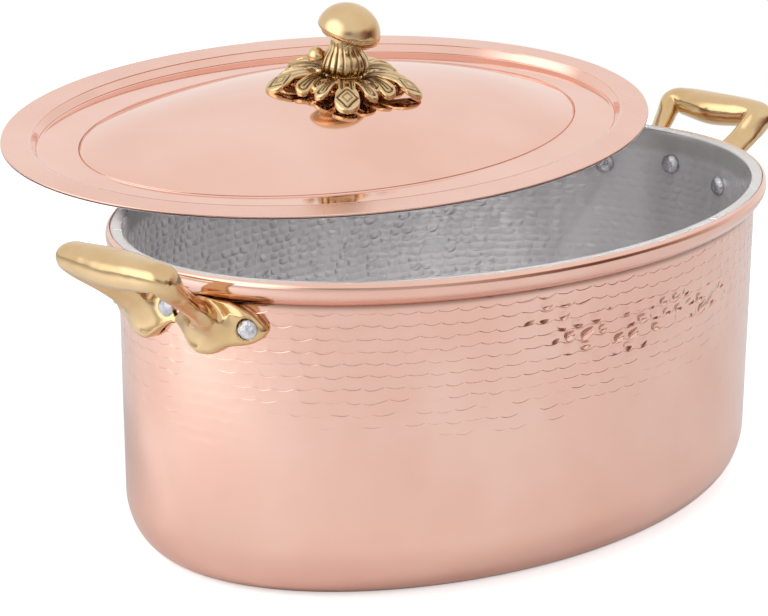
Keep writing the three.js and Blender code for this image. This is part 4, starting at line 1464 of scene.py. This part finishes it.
# %% [markdown]
# ## Studio
#
# Polished metal looks like what stands round it. A photographer sets the pot on a pale sweep,
# so that the wall mirrors the floor, and leaves the room beyond dark, so that the hammer marks
# get dark lower edges. Both can be built as walls and cards, but a world with a few soft
# patches is lighter: one bright window at the left, a dark room at the right and in front, and
# the dark stand of the camera. The patches are for mirrored rays only. Other rays get a plain
# soft grey, and the camera sees white.

# %% World: what the metal mirrors
world = bpy.data.worlds.new("studio")
scene.world = world
world.use_nodes = True
tree = world.node_tree
tree.nodes.clear()
path = add(tree, "ShaderNodeLightPath")
way = add(tree, "ShaderNodeTexCoord").outputs["Generated"]
parts = add(tree, "ShaderNodeSeparateXYZ", {0: way}).outputs
round_way = calc(tree, "arctan2(y, x)", x=parts[0], y=parts[1])
ended = add(tree, "ShaderNodeMapRange", {0: parts[2], 1: 0.15, 2: 0.4, 3: 1.0, 4: 0.0}).outputs[0]


def dark_room(middle, width):
    """How much of the dark room lies in a direction round the pot, in radians."""
    return calc(tree, "exponent(0 - ((a - m) / w) * ((a - m) / w)) * ended",
                a=round_way, m=middle, w=width, ended=ended)


room_right, room_front = dark_room(-0.98, 0.62), dark_room(-2.1, 0.6)
toward = add(tree, "ShaderNodeVectorMath", {0: way, 1: (-0.92, 0.2, 0.33)},
             operation="DOT_PRODUCT").outputs["Value"]
window = add(tree, "ShaderNodeMapRange", {0: toward, 1: 0.7, 2: 0.96, 3: 0.0, 4: 1.0},
             interpolation_type="SMOOTHSTEP").outputs[0]
stand = calc(tree, "exponent(0 - ((a + 2.42) / 0.28) * ((a + 2.42) / 0.28)"
                   " - ((z - 0.19) / 0.14) * ((z - 0.19) / 0.14))", a=round_way, z=parts[2])
bright = calc(tree, "0.95 - 0.8 * right - 0.35 * front - 0.5 * stand + 1.1 * window",
              right=room_right, front=room_front, stand=stand, window=window)
glossy = calc(tree, "maximum(glossy, through)", glossy=path.outputs["Is Glossy Ray"],
              through=path.outputs["Is Transmission Ray"])
soft = add(tree, "ShaderNodeBackground", {"Color": linear("#F4F4F6"), "Strength": 0.66})
tint = add(tree, "ShaderNodeMix", {0: room_right, 6: linear("#FFFDFB"), 7: linear("#FFBFA4")},
           data_type="RGBA")
mirrored = add(tree, "ShaderNodeBackground", {"Color": tint.outputs[2], "Strength": bright})
white = add(tree, "ShaderNodeBackground", {"Color": (1, 1, 1, 1), "Strength": 1.0})
both = add(tree, "ShaderNodeMixShader", {0: glossy, 1: soft.outputs[0], 2: mirrored.outputs[0]})
whole = add(tree, "ShaderNodeMixShader", {0: path.outputs["Is Camera Ray"], 1: both.outputs[0],
                                          2: white.outputs[0]})
add(tree, "ShaderNodeOutputWorld", {0: whole.outputs[0]})
print("nodes in the world:", len(tree.nodes))

# %% [markdown]
# ## Floor and lamps
#
# The floor ends a step away at the right and in front, where the dark room starts. Its own
# glow is for the camera alone: the background turns white without more light on the pot, and
# the shadow stays. Four soft lamps do the rest. They are kept out of the reflections, because
# their hard rectangles would show in the copper.

# %% Floor
floor_mesh = bpy.data.meshes.new("floor")
floor_left, floor_right, floor_front, floor_back = -4, 0.75, -0.85, 3
floor_mesh.from_pydata([(floor_left, floor_front, 0), (floor_right, floor_front, 0),
                        (floor_right, floor_back, 0), (floor_left, floor_back, 0)],
                       [], [(0, 1, 2, 3)])
floor = put_in_scene("floor", floor_mesh)
pale_floor, tree = new_material("pale floor")
path = add(tree, "ShaderNodeLightPath")
plain = add(tree, "ShaderNodeBsdfDiffuse", {"Color": (0.85, 0.85, 0.85, 1)})
seen = calc(tree, "0.55 * camera", camera=path.outputs["Is Camera Ray"])
glow = add(tree, "ShaderNodeEmission", {"Color": (1, 1, 1, 1), "Strength": seen})
added = add(tree, "ShaderNodeAddShader", {0: plain.outputs[0], 1: glow.outputs[0]})
add(tree, "ShaderNodeOutputMaterial", {"Surface": added.outputs[0]})
floor_mesh.materials.append(pale_floor)
print("floor", floor_right - floor_left, "by", floor_back - floor_front, "m")

# %% Four soft lamps
def softbox(name, place, aim, size, power, spread_angle=180):
    """A soft rectangular lamp that isn't itself seen in the metal; a grid narrows its beam."""
    lamp = bpy.data.lights.new(name, "AREA")
    lamp.shape = "RECTANGLE"
    lamp.size, lamp.size_y = size
    lamp.energy = power
    lamp.spread = math.radians(spread_angle)
    made = put_in_scene(name, lamp)
    made.location = place
    made.rotation_mode = "QUATERNION"
    made.rotation_quaternion = (Vector(place) - Vector(aim)).to_track_quat("Z", "Y")
    made.visible_glossy = False
    made.visible_camera = False


softbox("left softbox", (-0.62, 0.24, 0.38), (-0.4, 0.13, 0.0), (0.3, 0.3), 1.5)
softbox("high softbox", (0.3, -0.1, 1.9), (0.05, 0.0, 0.1), (1.0, 1.0), 8.5)
softbox("front softbox", (-0.1, -1.3, 0.95), (0.05, 0.05, 0.1), (0.5, 0.4), 4.0)
softbox("gridded softbox", (0.1, -0.75, 1.25), (0.0, 0.12, 0.1), (0.12, 0.12), 0.6, 16)
print("lamps:", len(bpy.data.lights))

# %% Plain colours
scene.view_settings.view_transform = "Standard"
print("view transform:", scene.view_settings.view_transform)
